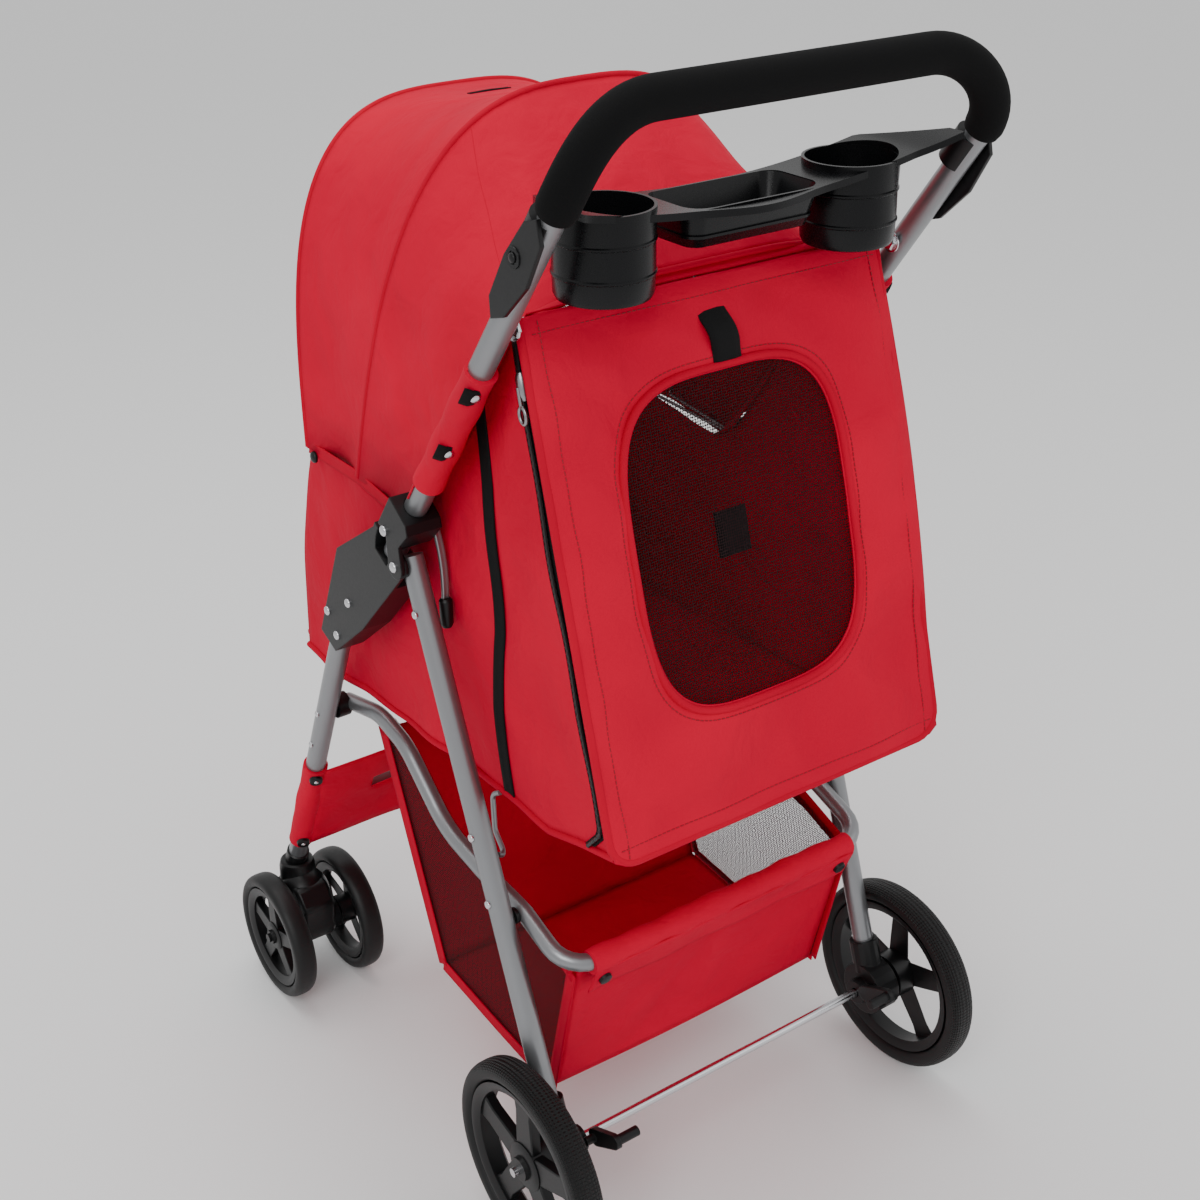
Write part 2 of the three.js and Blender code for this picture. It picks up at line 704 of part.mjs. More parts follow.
function cupRound(sign, radius, z0, z1) {
  return rod(new THREE.Vector3(sign * cup.x, tray.y, z0), new THREE.Vector3(sign * cup.x, tray.y, z1),
    radius, 28);
}

// Boat-shaped bin between the cups, narrower at the bottom.
function binRound(wall, z0, z1) {
  const outline = oblong(THREE.Shape, (bin.halfX - wall) * 2, wall - tray.depth / 2 + trayEdge,
    tray.depth / 2 - trayEdge - wall, binCorner - wall);
  const geometry = new THREE.ExtrudeGeometry(outline, {
    depth: z1 - z0, bevelEnabled: false, curveSegments: 6,
  });
  geometry.translate(0, tray.y, z0);
  return geometry;
}

// Leaf-shaped ear on the outside of each handle tube, screwed to the tray.
function trayEar(sign) {
  const foot = 307;
  const leaf = [[0, 0], [12, -10], [50, -13], [86, -9], [97, 0], [86, 13], [50, 17], [13, 10]]
    .map(([u, v]) => onHandle(foot + u, v));
  return sidePlate(sign, leaf.reverse(), legX + tubeRadius + gap, legX + tubeRadius + 3.5);
}

// ---------------------------------------------------------------- cabin

// Side outline of the cabin, seen along X.
const cabin = {
  foot: [[-243, 372], [-200, 366], [-129, 375], [-72, 377], [21, 386], [169, 386]],
  frontTop: [-193, 610],
  frontMiddle: [-221, 533],
};

function doorInside(z) {
  const share = (z - doorFoot.z) / (doorTop.z - doorFoot.z);
  return doorFoot.y + (doorTop.y - doorFoot.y) * share - doorThickness * 1.1 - gap * 2;
}

function cabinSide(sign) {
  const outline = [
    ...cabin.foot,
    [doorInside(407), 407], [doorInside(798), 798],
    [rearArch.foot.y + 22, rearArch.foot.z + 10], [rearArch.foot.y - 4, 582],
    [-100, 590], cabin.frontTop, cabin.frontMiddle,
  ];
  return sidePlate(sign, outline, cabinX - cloth, cabinX);
}

const cabinInnerX = cabinX - cloth - gap;

function cabinFront() {
  const [footY, footZ] = cabin.foot[0];
  const outline = [
    [footY, footZ + 14], [footY + cloth, footZ + 14],
    [cabin.frontMiddle[0] + cloth, cabin.frontMiddle[1]], [cabin.frontTop[0] + cloth, cabin.frontTop[1]],
    cabin.frontTop, cabin.frontMiddle,
  ];
  return plateX(outline, -cabinInnerX, cabinInnerX);
}

function cabinFloor() {
  const [frontY, frontZ] = [cabin.foot[0][0] + 1, cabin.foot[0][1] + 5];
  const rise = 26 / 485;
  const rearZ = frontZ + (floorRear - frontY) * rise;
  const outline = [
    [frontY, frontZ], [floorRear, rearZ],
    [floorRear, rearZ + floorThickness], [frontY, frontZ + floorThickness],
  ];
  return plateX(outline, -cabinInnerX, cabinInnerX);
}

function doorWindowOutline(Kind, width, inset) {
  return oblong(Kind, width - inset * 2, windowTop + inset, windowTop + windowHeight - inset,
    windowCorner - inset);
}

function rearDoor() {
  const outline = rectangle(doorX, Math.hypot(doorFoot.y - doorTop.y, doorFoot.z - doorTop.z));
  outline.holes.push(doorWindowOutline(THREE.Path, windowWidth, 0));
  return panelAcross(doorTop, doorFoot, outline, doorThickness);
}

// Mesh window, sunk a little into the door.
function rearWindow() {
  const outline = doorWindowOutline(THREE.Shape, windowWidth, gap);
  return panelAcross(doorTop, doorFoot, outline, 1, 1);
}

const slider = { x: 157.5, drop: 52, length: 22, width: 9, thickness: 4 };

// Zip slider on the left edge of the door.
function zipSlider() {
  const run = new THREE.Vector2(doorFoot.y - doorTop.y, doorFoot.z - doorTop.z).normalize();
  const place = (distance, off) => [
    doorTop.y + run.x * distance - run.y * off, doorTop.z + run.y * distance + run.x * off];
  const out = gap * 2;
  const outline = [
    place(slider.drop, out), place(slider.drop, out + slider.thickness),
    place(slider.drop + slider.length, out + slider.thickness), place(slider.drop + slider.length, out),
  ];
  return plateX(outline, slider.x - slider.width, slider.x);
}

// ---------------------------------------------------------------- canopy

// Points of an arch across the stroller. It stands in the plane through foot and crest;
// a higher squareness makes its shoulders squarer.
function arch(bow, halfX, squareness, count, drop = 0) {
  const points = [];
  for (let i = 0; i <= count; i++) {
    const angle = Math.PI * i / count;
    const c = Math.cos(angle);
    const s = Math.sin(angle);
    const x = halfX * Math.sign(c) * Math.abs(c) ** (2 / squareness);
    const h = s ** (2 / squareness) * (1 - drop);
    points.push(new THREE.Vector3(x,
      bow.foot.y + (bow.crest.y - bow.foot.y) * h,
      bow.foot.z + (bow.crest.z - bow.foot.z) * h));
  }
  return points;
}

// A thick closed sheet through rows of points; every row has the same count.
// The second skin lies `thickness` nearer to the line `centre` inside the sheet.
function thickSheet(rows, thickness, centre) {
  const count = rows[0].length;
  const outside = rows.flat();
  const inside = outside.map((p) => {
    const inward = new THREE.Vector3(0, centre.y, centre.z).sub(p);
    inward.x = -p.x;
    return p.clone().addScaledVector(inward.normalize(), thickness);
  });
  const vertices = [...outside, ...inside];
  const shift = outside.length;
  const index = [];
  const quad = (a, b, c, d) => index.push(a, c, b, a, d, c);
  for (let r = 0; r < rows.length - 1; r++) {
    for (let i = 0; i < count - 1; i++) {
      const a = r * count + i;
      quad(a, a + 1, a + 1 + count, a + count);
      quad(a + shift, a + count + shift, a + 1 + count + shift, a + 1 + shift);
    }
  }
  const last = (rows.length - 1) * count;
  for (let i = 0; i < count - 1; i++) {
    quad(i + 1, i, i + shift, i + 1 + shift);
    quad(last + i, last + i + 1, last + i + 1 + shift, last + i + shift);
  }
  for (let r = 0; r < rows.length - 1; r++) {
    const a = r * count;
    const b = a + count - 1;
    quad(a, a + count, a + count + shift, a + shift);
    quad(b + count, b, b + shift, b + count + shift);
  }
  const geometry = new THREE.BufferGeometry();
  geometry.setFromPoints(vertices);
  geometry.setIndex(index);
  geometry.computeVertexNormals();
  return geometry;
}

// Rows between two arches, hanging a little between them.
function canopyRows(first, second, squareFirst, squareSecond, rows, sag, from, to) {
  const a = arch(first, canopyX, squareFirst, 24);
  const b = arch(second, canopyX, squareSecond, 24);
  const result = [];
  for (let r = 0; r <= rows; r++) {
    const t = from + (to - from) * r / rows;
    const dip = 4 * sag * t * (1 - t);
    result.push(a.map((p, i) => {
      const q = p.clone().lerp(b[i], t);
      q.z -= dip * Math.sin(Math.PI * i / 24);
      return q;
    }));
  }
  return result;
}

const canopyCentre = { y: -60, z: 640 };
const seamShare = 0.004;         // half the gap between the two canopy sections

function canopyFrontSection() {
  const rows = canopyRows(frontBow, middleBow, 3.2, 3.0, 4, 9, 0, 1 - seamShare);
  return thickSheet(rows, cloth, canopyCentre);
}

function canopyRearSection() {
  const rows = canopyRows(middleBow, rearArch, 3.0, 5.0, 4, 6, seamShare, 1);
  return thickSheet(rows, cloth, canopyCentre);
}

// Mesh front of the canopy, inside the front bow.
function canopyFrontPanel() {
  const points = arch(frontBow, cabinX - cloth - gap * 2, 3.2, 20, 0.05);
  const outline = new THREE.Shape(points.map((p) => new THREE.Vector2(p.x, p.z)));
  const geometry = new THREE.ExtrudeGeometry(outline, { depth: cloth, bevelEnabled: false });
  geometry.rotateX(Math.PI / 2);
  geometry.translate(0, frontBow.crest.y + cloth, 0);
  return geometry;
}

// A springy bow: an arch whose feet run back to the canopy pin.
function canopyBow(bow, halfX, squareness) {
  const top = arch(bow, halfX, squareness, 20, 0.025);
  const pin = (sign) => new THREE.Vector3(sign * halfX, canopyPin.y, canopyPin.z);
  return pipe([pin(1), ...top, pin(-1)], bowRadius, 0, 4);
}

// ---------------------------------------------------------------- assembly

for (const { sign, name } of sides) {
  add(`front_leg_${name}`, frontLeg(sign), silver());
  add(`fold_bracket_${name}`, foldBracket(sign), plastic());
  add(`rear_leg_${name}`, rearLeg(sign), silver());
  add(`brake_housing_${name}`, brakeHousing(sign), plastic());
  add(`brake_lever_${name}`, brakeLever(sign), plastic());
  add(`latch_${name}`, latchStrip(sign), silver());
  add(`pivot_block_${name}`, pivotBlock(sign), plastic());
  add(`tray_ear_${name}`, trayEar(sign), plastic());
  add(`cabin_side_${name}`, cabinSide(sign), redCloth());
  add(`basket_side_${name}`, basketSide(sign), blackMesh());

  add(`rear_bush_${name}`, rearBush(sign), plastic());

  add(`caster_housing_${name}`, casterHousing(sign), plastic());
  const casterX = sign * legX;
  add(`caster_axle_${name}`, rodX(casterX - casterAxleHalf, casterX + casterAxleHalf,
    frontWheel.y, frontWheel.radius, axleRadius, 16), silver());
  const outerX = sign * (legX + frontWheel.offset);
  const innerX = sign * (legX - frontWheel.offset);
  addWheel(`front_wheel_outer_${name}`, outerX, frontWheel.y, frontWheel, 5, 12, casterHubHalf);
  addWheel(`front_wheel_inner_${name}`, innerX, frontWheel.y, frontWheel, 5, 12, casterHubHalf);
  addWheel(`rear_wheel_${name}`, sign * rearWheel.x, rearWheel.y, rearWheel, 5,
    rearHub.radius, rearHub.halfWidth);
}

add('front_cross_bar', frontCrossBar(), silver());
add('front_band', frontBand(), redCloth());
add('rear_axle', rearAxle(), silver());
add('basket_tube', basketTube(), silver());
basketPanels();
add('handle_tube', handleTube(), silver());
add('handle_grip', handleGrip(), foam());
add('tray', trayBody(), plastic());
add('cross_wire', crossWire(), chrome());
add('cabin_floor', cabinFloor(), board());
add('cabin_front', cabinFront(), redCloth());
add('rear_door', rearDoor(), redCloth());
add('rear_window', rearWindow(), blackMesh());
add('zip_slider', zipSlider(), chrome());
add('canopy_front_section', canopyFrontSection(), redCloth());
add('canopy_rear_section', canopyRearSection(), redCloth());
add('canopy_front_panel', canopyFrontPanel(), blackMesh());
add('canopy_front_bow', canopyBow(frontBow, frontBowX, 3.2), silver());
add('canopy_middle_bow', canopyBow(middleBow, middleBowX, 3.0), silver());

export default group;
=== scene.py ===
"""A folding pet stroller. The file follows the stroller from its legs up, one section per piece
or group of like pieces. Metres, +Z up, -Y is the way it travels, +X is the pusher's left."""

import json
import math

import bpy
import numpy as np
from mathutils import Matrix, Vector

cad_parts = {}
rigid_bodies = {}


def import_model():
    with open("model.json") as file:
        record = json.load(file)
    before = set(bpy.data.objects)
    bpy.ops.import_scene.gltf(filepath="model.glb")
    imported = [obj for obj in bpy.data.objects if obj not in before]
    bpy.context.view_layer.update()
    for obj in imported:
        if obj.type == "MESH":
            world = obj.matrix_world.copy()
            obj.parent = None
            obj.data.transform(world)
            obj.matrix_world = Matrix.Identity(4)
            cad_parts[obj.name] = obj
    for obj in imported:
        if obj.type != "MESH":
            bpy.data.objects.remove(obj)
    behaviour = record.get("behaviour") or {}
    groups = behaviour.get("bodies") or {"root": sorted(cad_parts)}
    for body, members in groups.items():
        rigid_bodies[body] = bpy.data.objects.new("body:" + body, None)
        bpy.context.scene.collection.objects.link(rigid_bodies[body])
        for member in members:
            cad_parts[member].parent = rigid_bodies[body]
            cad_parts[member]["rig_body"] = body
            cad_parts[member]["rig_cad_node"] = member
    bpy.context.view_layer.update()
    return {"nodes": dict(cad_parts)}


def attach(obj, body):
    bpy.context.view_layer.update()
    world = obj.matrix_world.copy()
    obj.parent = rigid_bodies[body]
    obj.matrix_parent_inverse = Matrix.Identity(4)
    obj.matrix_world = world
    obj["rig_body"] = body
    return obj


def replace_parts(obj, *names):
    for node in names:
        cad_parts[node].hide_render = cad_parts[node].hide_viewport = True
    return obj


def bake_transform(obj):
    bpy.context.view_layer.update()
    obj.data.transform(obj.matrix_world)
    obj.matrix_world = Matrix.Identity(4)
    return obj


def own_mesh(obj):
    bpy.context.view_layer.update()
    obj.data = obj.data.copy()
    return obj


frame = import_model()
SIDES = (("left", 1), ("right", -1))


# ------------------------------------------------------------------ front legs
# Round steel tube with satin silver paint. The upper ends sit in the fold brackets,
# the lower ends on the casters' stems. Two small rivets go through each leg.


def principled(name, colour, roughness, metallic=0.0, grain=None, **sockets):
    """Painted or moulded material; grain is (scale, height in metres) of a fine noise bump."""
    material = bpy.data.materials.new(name)
    material.use_nodes = True
    tree = material.node_tree
    shader = tree.nodes["Principled BSDF"]
    shader.inputs["Base Color"].default_value = (*colour, 1)
    shader.inputs["Roughness"].default_value = roughness
    shader.inputs["Metallic"].default_value = metallic
    for socket, value in sockets.items():
        shader.inputs[socket.replace("_", " ")].default_value = value
    if grain:
        scale, height = grain
        place = tree.nodes.new("ShaderNodeTexCoord")
        noise = tree.nodes.new("ShaderNodeTexNoise")
        noise.inputs["Scale"].default_value = scale
        noise.inputs["Detail"].default_value = 4
        bump = tree.nodes.new("ShaderNodeBump")
        bump.inputs["Distance"].default_value = height
        tree.links.new(place.outputs["Object"], noise.inputs["Vector"])
        tree.links.new(noise.outputs["Fac"], bump.inputs["Height"])
        tree.links.new(bump.outputs["Normal"], shader.inputs["Normal"])
        soft = tree.nodes.new("ShaderNodeMapRange")
        soft.inputs["To Min"].default_value = roughness * 0.85
        soft.inputs["To Max"].default_value = min(roughness * 1.2, 1)
        tree.links.new(noise.outputs["Fac"], soft.inputs["Value"])
        tree.links.new(soft.outputs["Result"], shader.inputs["Roughness"])
    return material


def build(name, vertices, faces, material, body, smooth=0.6):
    """One mesh that rides a body; edges sharper than `smooth` radians stay sharp."""
    mesh = bpy.data.meshes.new(name)
    mesh.from_pydata(np.asarray(vertices).tolist(), [], [list(f) for f in faces])
    mesh.shade_smooth()
    mesh.set_sharp_from_angle(angle=smooth)
    mesh.materials.append(material)
    obj = bpy.data.objects.new(name, mesh)
    bpy.context.scene.collection.objects.link(obj)
    if body:
        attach(obj, body)
    return obj


def grid_faces(n, m, wrap_i=False, wrap_j=False, keep=None):
    """Quads over points i < n, j < m, each joining i, i + 1 and j, j + 1."""
    i, j = np.meshgrid(np.arange(n if wrap_i else n - 1), np.arange(m if wrap_j else m - 1),
                       indexing="ij")
    if keep is not None:
        i, j = i[keep], j[keep]
    i2, j2 = (i + 1) % n, (j + 1) % m
    return np.stack([i * m + j, i2 * m + j, i2 * m + j2, i * m + j2], -1).reshape(-1, 4)


def surface(name, grid, material, body, wrap_i=False, wrap_j=False, flip=False, keep=None,
            smooth=0.9):
    """Mesh over an array of points grid[i, j]; its UV is (i, j) as shares of the grid."""
    n, m = grid.shape[:2]
    faces = grid_faces(n, m, wrap_i, wrap_j, keep)
    if flip:
        faces = faces[:, ::-1]
    obj = build(name, grid.reshape(-1, 3), faces, material, body, smooth)
    layer = obj.data.uv_layers.new(name="UVMap")
    index = np.array([loop.vertex_index for loop in obj.data.loops])
    layer.data.foreach_set("uv", np.stack([index // m / n, index % m / m], -1).ravel())
    return obj


def rings(line, radii, sides):
    """Point k of ring i is line[i] + radii[i] (cos a N + sin a B), a = 2 pi k / sides,
    with N and B carried along the line without twist."""
    line = np.asarray(line, float)
    radii = np.broadcast_to(np.asarray(radii, float), len(line))
    apart = np.r_[True, np.linalg.norm(np.diff(line, axis=0), axis=1) > 1e-6]
    line, radii = line[apart], radii[apart]
    step = np.diff(line, axis=0)
    step /= np.linalg.norm(step, axis=1)[:, None]
    tangent = np.vstack([step[:1], step[:-1] + step[1:], step[-1:]])
    tangent /= np.linalg.norm(tangent, axis=1)[:, None]
    normal = np.cross(tangent[0], [0.0, 0.12, 1.0] if abs(tangent[0][0]) > 0.9 else [1.0, 0, 0])
    angle = np.arange(sides) * 2 * math.pi / sides
    result = []
    for centre, direction, radius in zip(line, tangent, radii):
        normal = normal - direction * normal.dot(direction)
        normal = normal / np.linalg.norm(normal)
        side = np.cross(direction, normal)
        result.append(centre + radius * (np.cos(angle)[:, None] * normal
                                         + np.sin(angle)[:, None] * side))
    return np.array(result)


def tube(name, line, radii, material, body, sides=28):
    """A rod along a line of points, with flat ends."""
    ring = rings(line, radii, sides)
    n = len(ring)
    faces = [list(f) for f in grid_faces(n, sides, wrap_j=True)[:, ::-1]]
    faces.append(list(range(sides))[::1])
    faces.append([(n - 1) * sides + k for k in range(sides)][::-1])
    faces = [f[::-1] for f in faces]
    return build(name, ring.reshape(-1, 3), faces, material, body)


def front_leg(u, v=0.0, x=0.188):
    """Point on a front leg: u along it from its foot, v square to it towards the rear."""
    return np.array([x, -0.252 + 0.4149 * u + 0.9099 * v, 0.137 + 0.9099 * u - 0.4149 * v])


def turned(name, profile, centre, axis, material, body, sides=48, closed=False):
    """Solid turned about an axis through centre; profile is (distance along, radius) pairs."""
    profile = np.asarray(profile, float)
    axis = np.asarray(axis, float) / np.linalg.norm(axis)
    first = np.cross(axis, [0, 0, 1] if abs(axis[2]) < 0.9 else [1, 0, 0])
    first = first / np.linalg.norm(first)
    second = np.cross(axis, first)
    angle = np.arange(sides) * 2 * math.pi / sides
    around = np.cos(angle)[:, None] * first + np.sin(angle)[:, None] * second
    grid = (np.asarray(centre) + profile[None, :, :1] * axis
            + profile[None, :, 1:] * around[:, None, :])
    return surface(name, grid, material, body, wrap_i=True, wrap_j=closed, smooth=0.6)


def domed(name, centre, normal, radius, material, body):
    """A rivet's head: a low dome with a short rim."""
    profile = [(0, radius * 1.0), (radius * 0.25, radius)]
    profile += [(radius * (0.25 + 0.5 * math.sin(a)), radius * math.cos(a))
                for a in np.linspace(0.15, 1.5, 6)]
    profile.append((radius * 0.75, 1e-5))
    return turned(name, profile, centre, normal, material, body, sides=20)


silver = principled("silver_paint", (0.26, 0.265, 0.275), 0.34, 0.8, grain=(900, 0.00003))
bright = principled("bright_steel", (0.62, 0.62, 0.64), 0.2, 1.0)
for side, sign in SIDES:
    leg = tube(f"look_front_leg_{side}", [front_leg(u, x=0.188 * sign) for u in (-0.004, 0.442)],
               0.0095, silver, "frame")
    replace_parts(leg, f"front_leg_{side}")
    for number, u in enumerate((0.19, 0.237)):
        domed(f"leg_rivet_{side}_{number}", front_leg(u, x=0.1974 * sign), (sign, 0, 0), 0.003,
              bright, "frame")

# ------------------------------------------------------------------ cross bar and front band
# A bar between the front legs, and behind it a red cloth guard with a long slot. The guard's
# ends go round the legs as sleeves, closed by two black snaps each.

bar = tube("look_front_cross_bar", [front_leg(0.086, x=x) for x in (-0.178, 0.178)], 0.007,
           silver, "frame")
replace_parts(bar, "front_cross_bar")


def cloth_material(name, colour, crumple=1.0, weave=1.0):
    """Woven polyester: fine crossed threads, soft crumples and a little sheen; the colour follows
    the crumple bump, with painted shade in its hollows and painted light on its crests.
    """
    material = principled(name, colour, 0.72)
    tree = material.node_tree
    shader = tree.nodes["Principled BSDF"]
    shader.inputs["Sheen Weight"].default_value = 0.03
    shader.inputs["Sheen Roughness"].default_value = 0.4
    shader.inputs["Sheen Tint"].default_value = (1, 0.25, 0.3, 1)
    shader.inputs["Specular IOR Level"].default_value = 0.07
    place = tree.nodes.new("ShaderNodeTexCoord")
    height = None
    for scale, distance, detail in ((8, 0.016 * crumple, 2), (30, 0.0036 * crumple, 3),
                                    (1500, 0.00007 * weave, 0)):
        noise = tree.nodes.new("ShaderNodeTexNoise")
        noise.inputs["Scale"].default_value = scale
        noise.inputs["Detail"].default_value = detail
        noise.inputs["Distortion"].default_value = 0.4
        bump = tree.nodes.new("ShaderNodeBump")
        bump.inputs["Distance"].default_value = distance
        tree.links.new(place.outputs["Object"], noise.inputs["Vector"])
        tree.links.new(noise.outputs["Fac"], bump.inputs["Height"])
        if height:
            tree.links.new(height, bump.inputs["Normal"])
        height = bump.outputs["Normal"]
        # The coarse crumple noise also sets the base colour: painted shade where the cloth dips,
        # painted light where it rises.
        if scale == 8:
            crumple_light_and_shade = tree.nodes.new("ShaderNodeMix")
            crumple_light_and_shade.data_type = "RGBA"
            crumple_light_and_shade.inputs["A"].default_value = (*[c * 0.78 for c in colour], 1)
            crumple_light_and_shade.inputs["B"].default_value = (*[min(c * 1.18, 1) for c in colour], 1)
            tree.links.new(noise.outputs["Fac"], crumple_light_and_shade.inputs["Factor"])
            tree.links.new(crumple_light_and_shade.outputs["Result"], shader.inputs["Base Color"])
    tree.links.new(height, shader.inputs["Normal"])
    return material


def thicken(obj, thickness, offset=-1.0):
    """Gives a cloth surface its thickness, away from its outer face."""
    solid = obj.modifiers.new("thickness", "SOLIDIFY")
    solid.thickness = thickness
    solid.offset = offset
    return obj


red = cloth_material("red_cloth", (0.58, 0.0012, 0.030))
black = principled("black_plastic", (0.0035, 0.0036, 0.0040), 0.38, grain=(700, 0.00003),
                   Specular_IOR_Level=0.32)
x = np.concatenate([np.linspace(-0.185, -0.128, 8), np.linspace(-0.124, 0.124, 32),
                    np.linspace(0.128, 0.185, 8)])
u = np.concatenate([np.linspace(0.152, 0.112, 8), [0.111], np.linspace(0.093, 0.03, 8)])
X, U = np.meshgrid(x, u, indexing="ij")
sway = 0.003 * np.sin(X * 21 + U * 40) + 0.002 * np.sin(X * 47)
hang = 0.0098 + np.minimum(sway * 0.5, 0.0008) * np.cos(X * 8.5)
grid = np.stack([X, -0.252 + 0.4149 * U + 0.9099 * hang, 0.137 + 0.9099 * U - 0.4149 * hang], -1)
keep = np.ones((len(x) - 1, len(u) - 1), bool)
keep[8:39, 8] = False
band = thicken(surface("look_front_band", grid, red, "frame", keep=keep, flip=True), 0.0016, 0)
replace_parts(band, "front_band")
for side, sign in SIDES:
    u = np.linspace(0.028, 0.154, 16)
    sleeve = tube(f"band_sleeve_{side}", [front_leg(k, x=0.188 * sign) for k in u],
                  0.0118 + 0.0004 * np.sin(u * 75 + 1) + 0.0003 * np.sin(u * 143), red, "frame")
    for number, place in enumerate((0.038, 0.144)):
        normal = np.array([0.35 * sign, 0.85, -0.39])
        centre = front_leg(place, x=0.188 * sign) + 0.0112 * normal
        turned(f"band_snap_{side}_{number}", [(0, 0.0065), (0.003, 0.006), (0.0036, 0.0045),
                                              (0.0036, 1e-5)], centre, normal, black, "frame",
               sides=24)
        domed(f"band_snap_centre_{side}_{number}", centre + normal * 0.003, normal, 0.0022,
              bright, "frame")
    stem = front_leg(-0.004, x=0.188 * sign)
    turned(f"leg_ferrule_{side}", [(-0.006, 1e-5), (-0.006, 0.0115), (0.01, 0.0112),
                                   (0.011, 0.0096)], stem, (0, 0.4149, 0.9099), black, "frame")

# ------------------------------------------------------------------ black mouldings
# Fold brackets, pivot blocks, axle housings, brake levers, tray ears and spacers: glass-filled
# plastic with a fine grain, held by silver rivets. Their shapes are the CAD solids.


def moulded(name, colour, roughness, radius):
    """Plastic whose hard edges are rounded in the shading by `radius`."""
    material = principled(name, colour, roughness, grain=(500, 0.00003),
                          Specular_IOR_Level=0.3)
    tree = material.node_tree
    bevel = tree.nodes.new("ShaderNodeBevel")
    bevel.samples = 6
    bevel.inputs["Radius"].default_value = radius
    bump = next(n for n in tree.nodes if n.type == "BUMP")
    tree.links.new(bevel.outputs["Normal"], bump.inputs["Normal"])
    return material


moulding = moulded("black_moulding", (0.0035, 0.0036, 0.0040), 0.4, 0.0016)
for name, node in frame["nodes"].items():
    if name.startswith(("fold_bracket", "pivot_block", "brake_", "rear_bush", "tray_ear")):
        node.data.materials.clear()
        node.data.materials.append(moulding)
for side, sign in SIDES:
    for number, (y, z) in enumerate(((-0.104, 0.482), (-0.090, 0.464), (-0.064, 0.506))):
        domed(f"bracket_rivet_{side}_{number}", (0.2012 * sign, y, z), (sign, 0, 0), 0.0042,
              bright, "frame")
    for number, (y, z) in enumerate(((0.016, 0.604), (0.028, 0.577))):
        domed(f"pivot_rivet_{side}_{number}", (0.205 * sign, y, z), (sign, 0, 0), 0.0046,
              bright, "handle")

# ------------------------------------------------------------------ rear legs and axle
# The same silver tube. They lean in towards the axle and are riveted to the pivot blocks.


def rear_leg(z, sign):
    """Centre of a rear leg at height z."""
    share = (z - 0.121) / (0.577 - 0.121)
    return np.array([sign * (0.180 + 0.008 * share), 0.193 - 0.165 * share, z])


for side, sign in SIDES:
    leg = tube(f"look_rear_leg_{side}", [rear_leg(z, sign) for z in (0.118, 0.582)], 0.0095,
               silver, "rear_legs")
    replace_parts(leg, f"rear_leg_{side}")
    for number, z in enumerate((0.538, 0.360, 0.305)):
        domed(f"rear_leg_rivet_{side}_{number}",
              rear_leg(z, sign) + np.array([0.0092 * sign, 0, 0]), (sign, 0, 0), 0.0036,
              bright, "rear_legs")
rod = tube("look_rear_axle", [(x, 0.204, 0.093) for x in (-0.2275, 0.2275)], 0.004, bright,
           "rear_legs", sides=20)
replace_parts(rod, "rear_axle")

# ------------------------------------------------------------------ wheels
# Foam rubber tyres on black five-spoked plastic wheels. The rear tyres are knurled in diamonds,
# the front ones are smooth.


def tyre_material(name, knurl):
    """Black rubber; the knurl is a crossed sine relief on the tread, from the tyre's own UV."""
    material = principled(name, (0.004, 0.004, 0.0042), 0.55, Specular_IOR_Level=0.35)
    tree = material.node_tree
    uv = tree.nodes.new("ShaderNodeUVMap")
    split = tree.nodes.new("ShaderNodeSeparateXYZ")
    tree.links.new(uv.outputs["UV"], split.inputs["Vector"])
    waves = []
    for slope in (1, -1):
        turn = tree.nodes.new("ShaderNodeMath")
        turn.operation = "MULTIPLY"
        turn.inputs[1].default_value = knurl * 2 * math.pi
        tree.links.new(split.outputs["X"], turn.inputs[0])
        across = tree.nodes.new("ShaderNodeMath")
        across.operation = "MULTIPLY_ADD"
        across.inputs[1].default_value = slope * 14 * 2 * math.pi
        tree.links.new(split.outputs["Y"], across.inputs[0])
        tree.links.new(turn.outputs[0], across.inputs[2])
        wave = tree.nodes.new("ShaderNodeMath")
        wave.operation = "SINE"
        tree.links.new(across.outputs[0], wave.inputs[0])
        waves.append(wave)
    both = tree.nodes.new("ShaderNodeMath")
    both.operation = "MULTIPLY"
    tree.links.new(waves[0].outputs[0], both.inputs[0])
    tree.links.new(waves[1].outputs[0], both.inputs[1])
    tread = tree.nodes.new("ShaderNodeAttribute")
    tread.attribute_name = "tread"
    masked = tree.nodes.new("ShaderNodeMath")
    masked.operation = "MULTIPLY"
    tree.links.new(both.outputs[0], masked.inputs[0])
    tree.links.new(tread.outputs["Fac"], masked.inputs[1])
    bump = tree.nodes.new("ShaderNodeBump")
    bump.inputs["Distance"].default_value = 0.0018
    tree.links.new(masked.outputs[0], bump.inputs["Height"])
    tree.links.new(bump.outputs["Normal"], tree.nodes["Principled BSDF"].inputs["Normal"])
    return material


knurled = tyre_material("knurled_tyre", 92)
smooth_tyre = principled("smooth_tyre", (0.004, 0.004, 0.0042), 0.48, grain=(260, 0.00005),
                         Specular_IOR_Level=0.35)


def tyre(name, x, y, radius, depth, half, material, body):
    """Closed ring: across it is a squarish oval, half wide each way and depth deep."""
    a = np.linspace(0, 2 * math.pi, 36, endpoint=False)
    c, s = np.cos(a), np.sin(a)
    across = half * np.sign(c) * np.abs(c) ** 0.75
    out = radius - depth / 2 + depth / 2 * np.sign(s) * np.abs(s) ** 0.8
    ring = turned(name, np.stack([across, out], -1), (x, y, radius), (1, 0, 0), material, body,
                  sides=96, closed=True)
    tread = ring.data.attributes.new("tread", "FLOAT", "POINT")
    tread.data.foreach_set("value", np.tile(np.clip(s * 1.6 - 0.3, 0, 1), 96).astype(np.float32))
    return ring


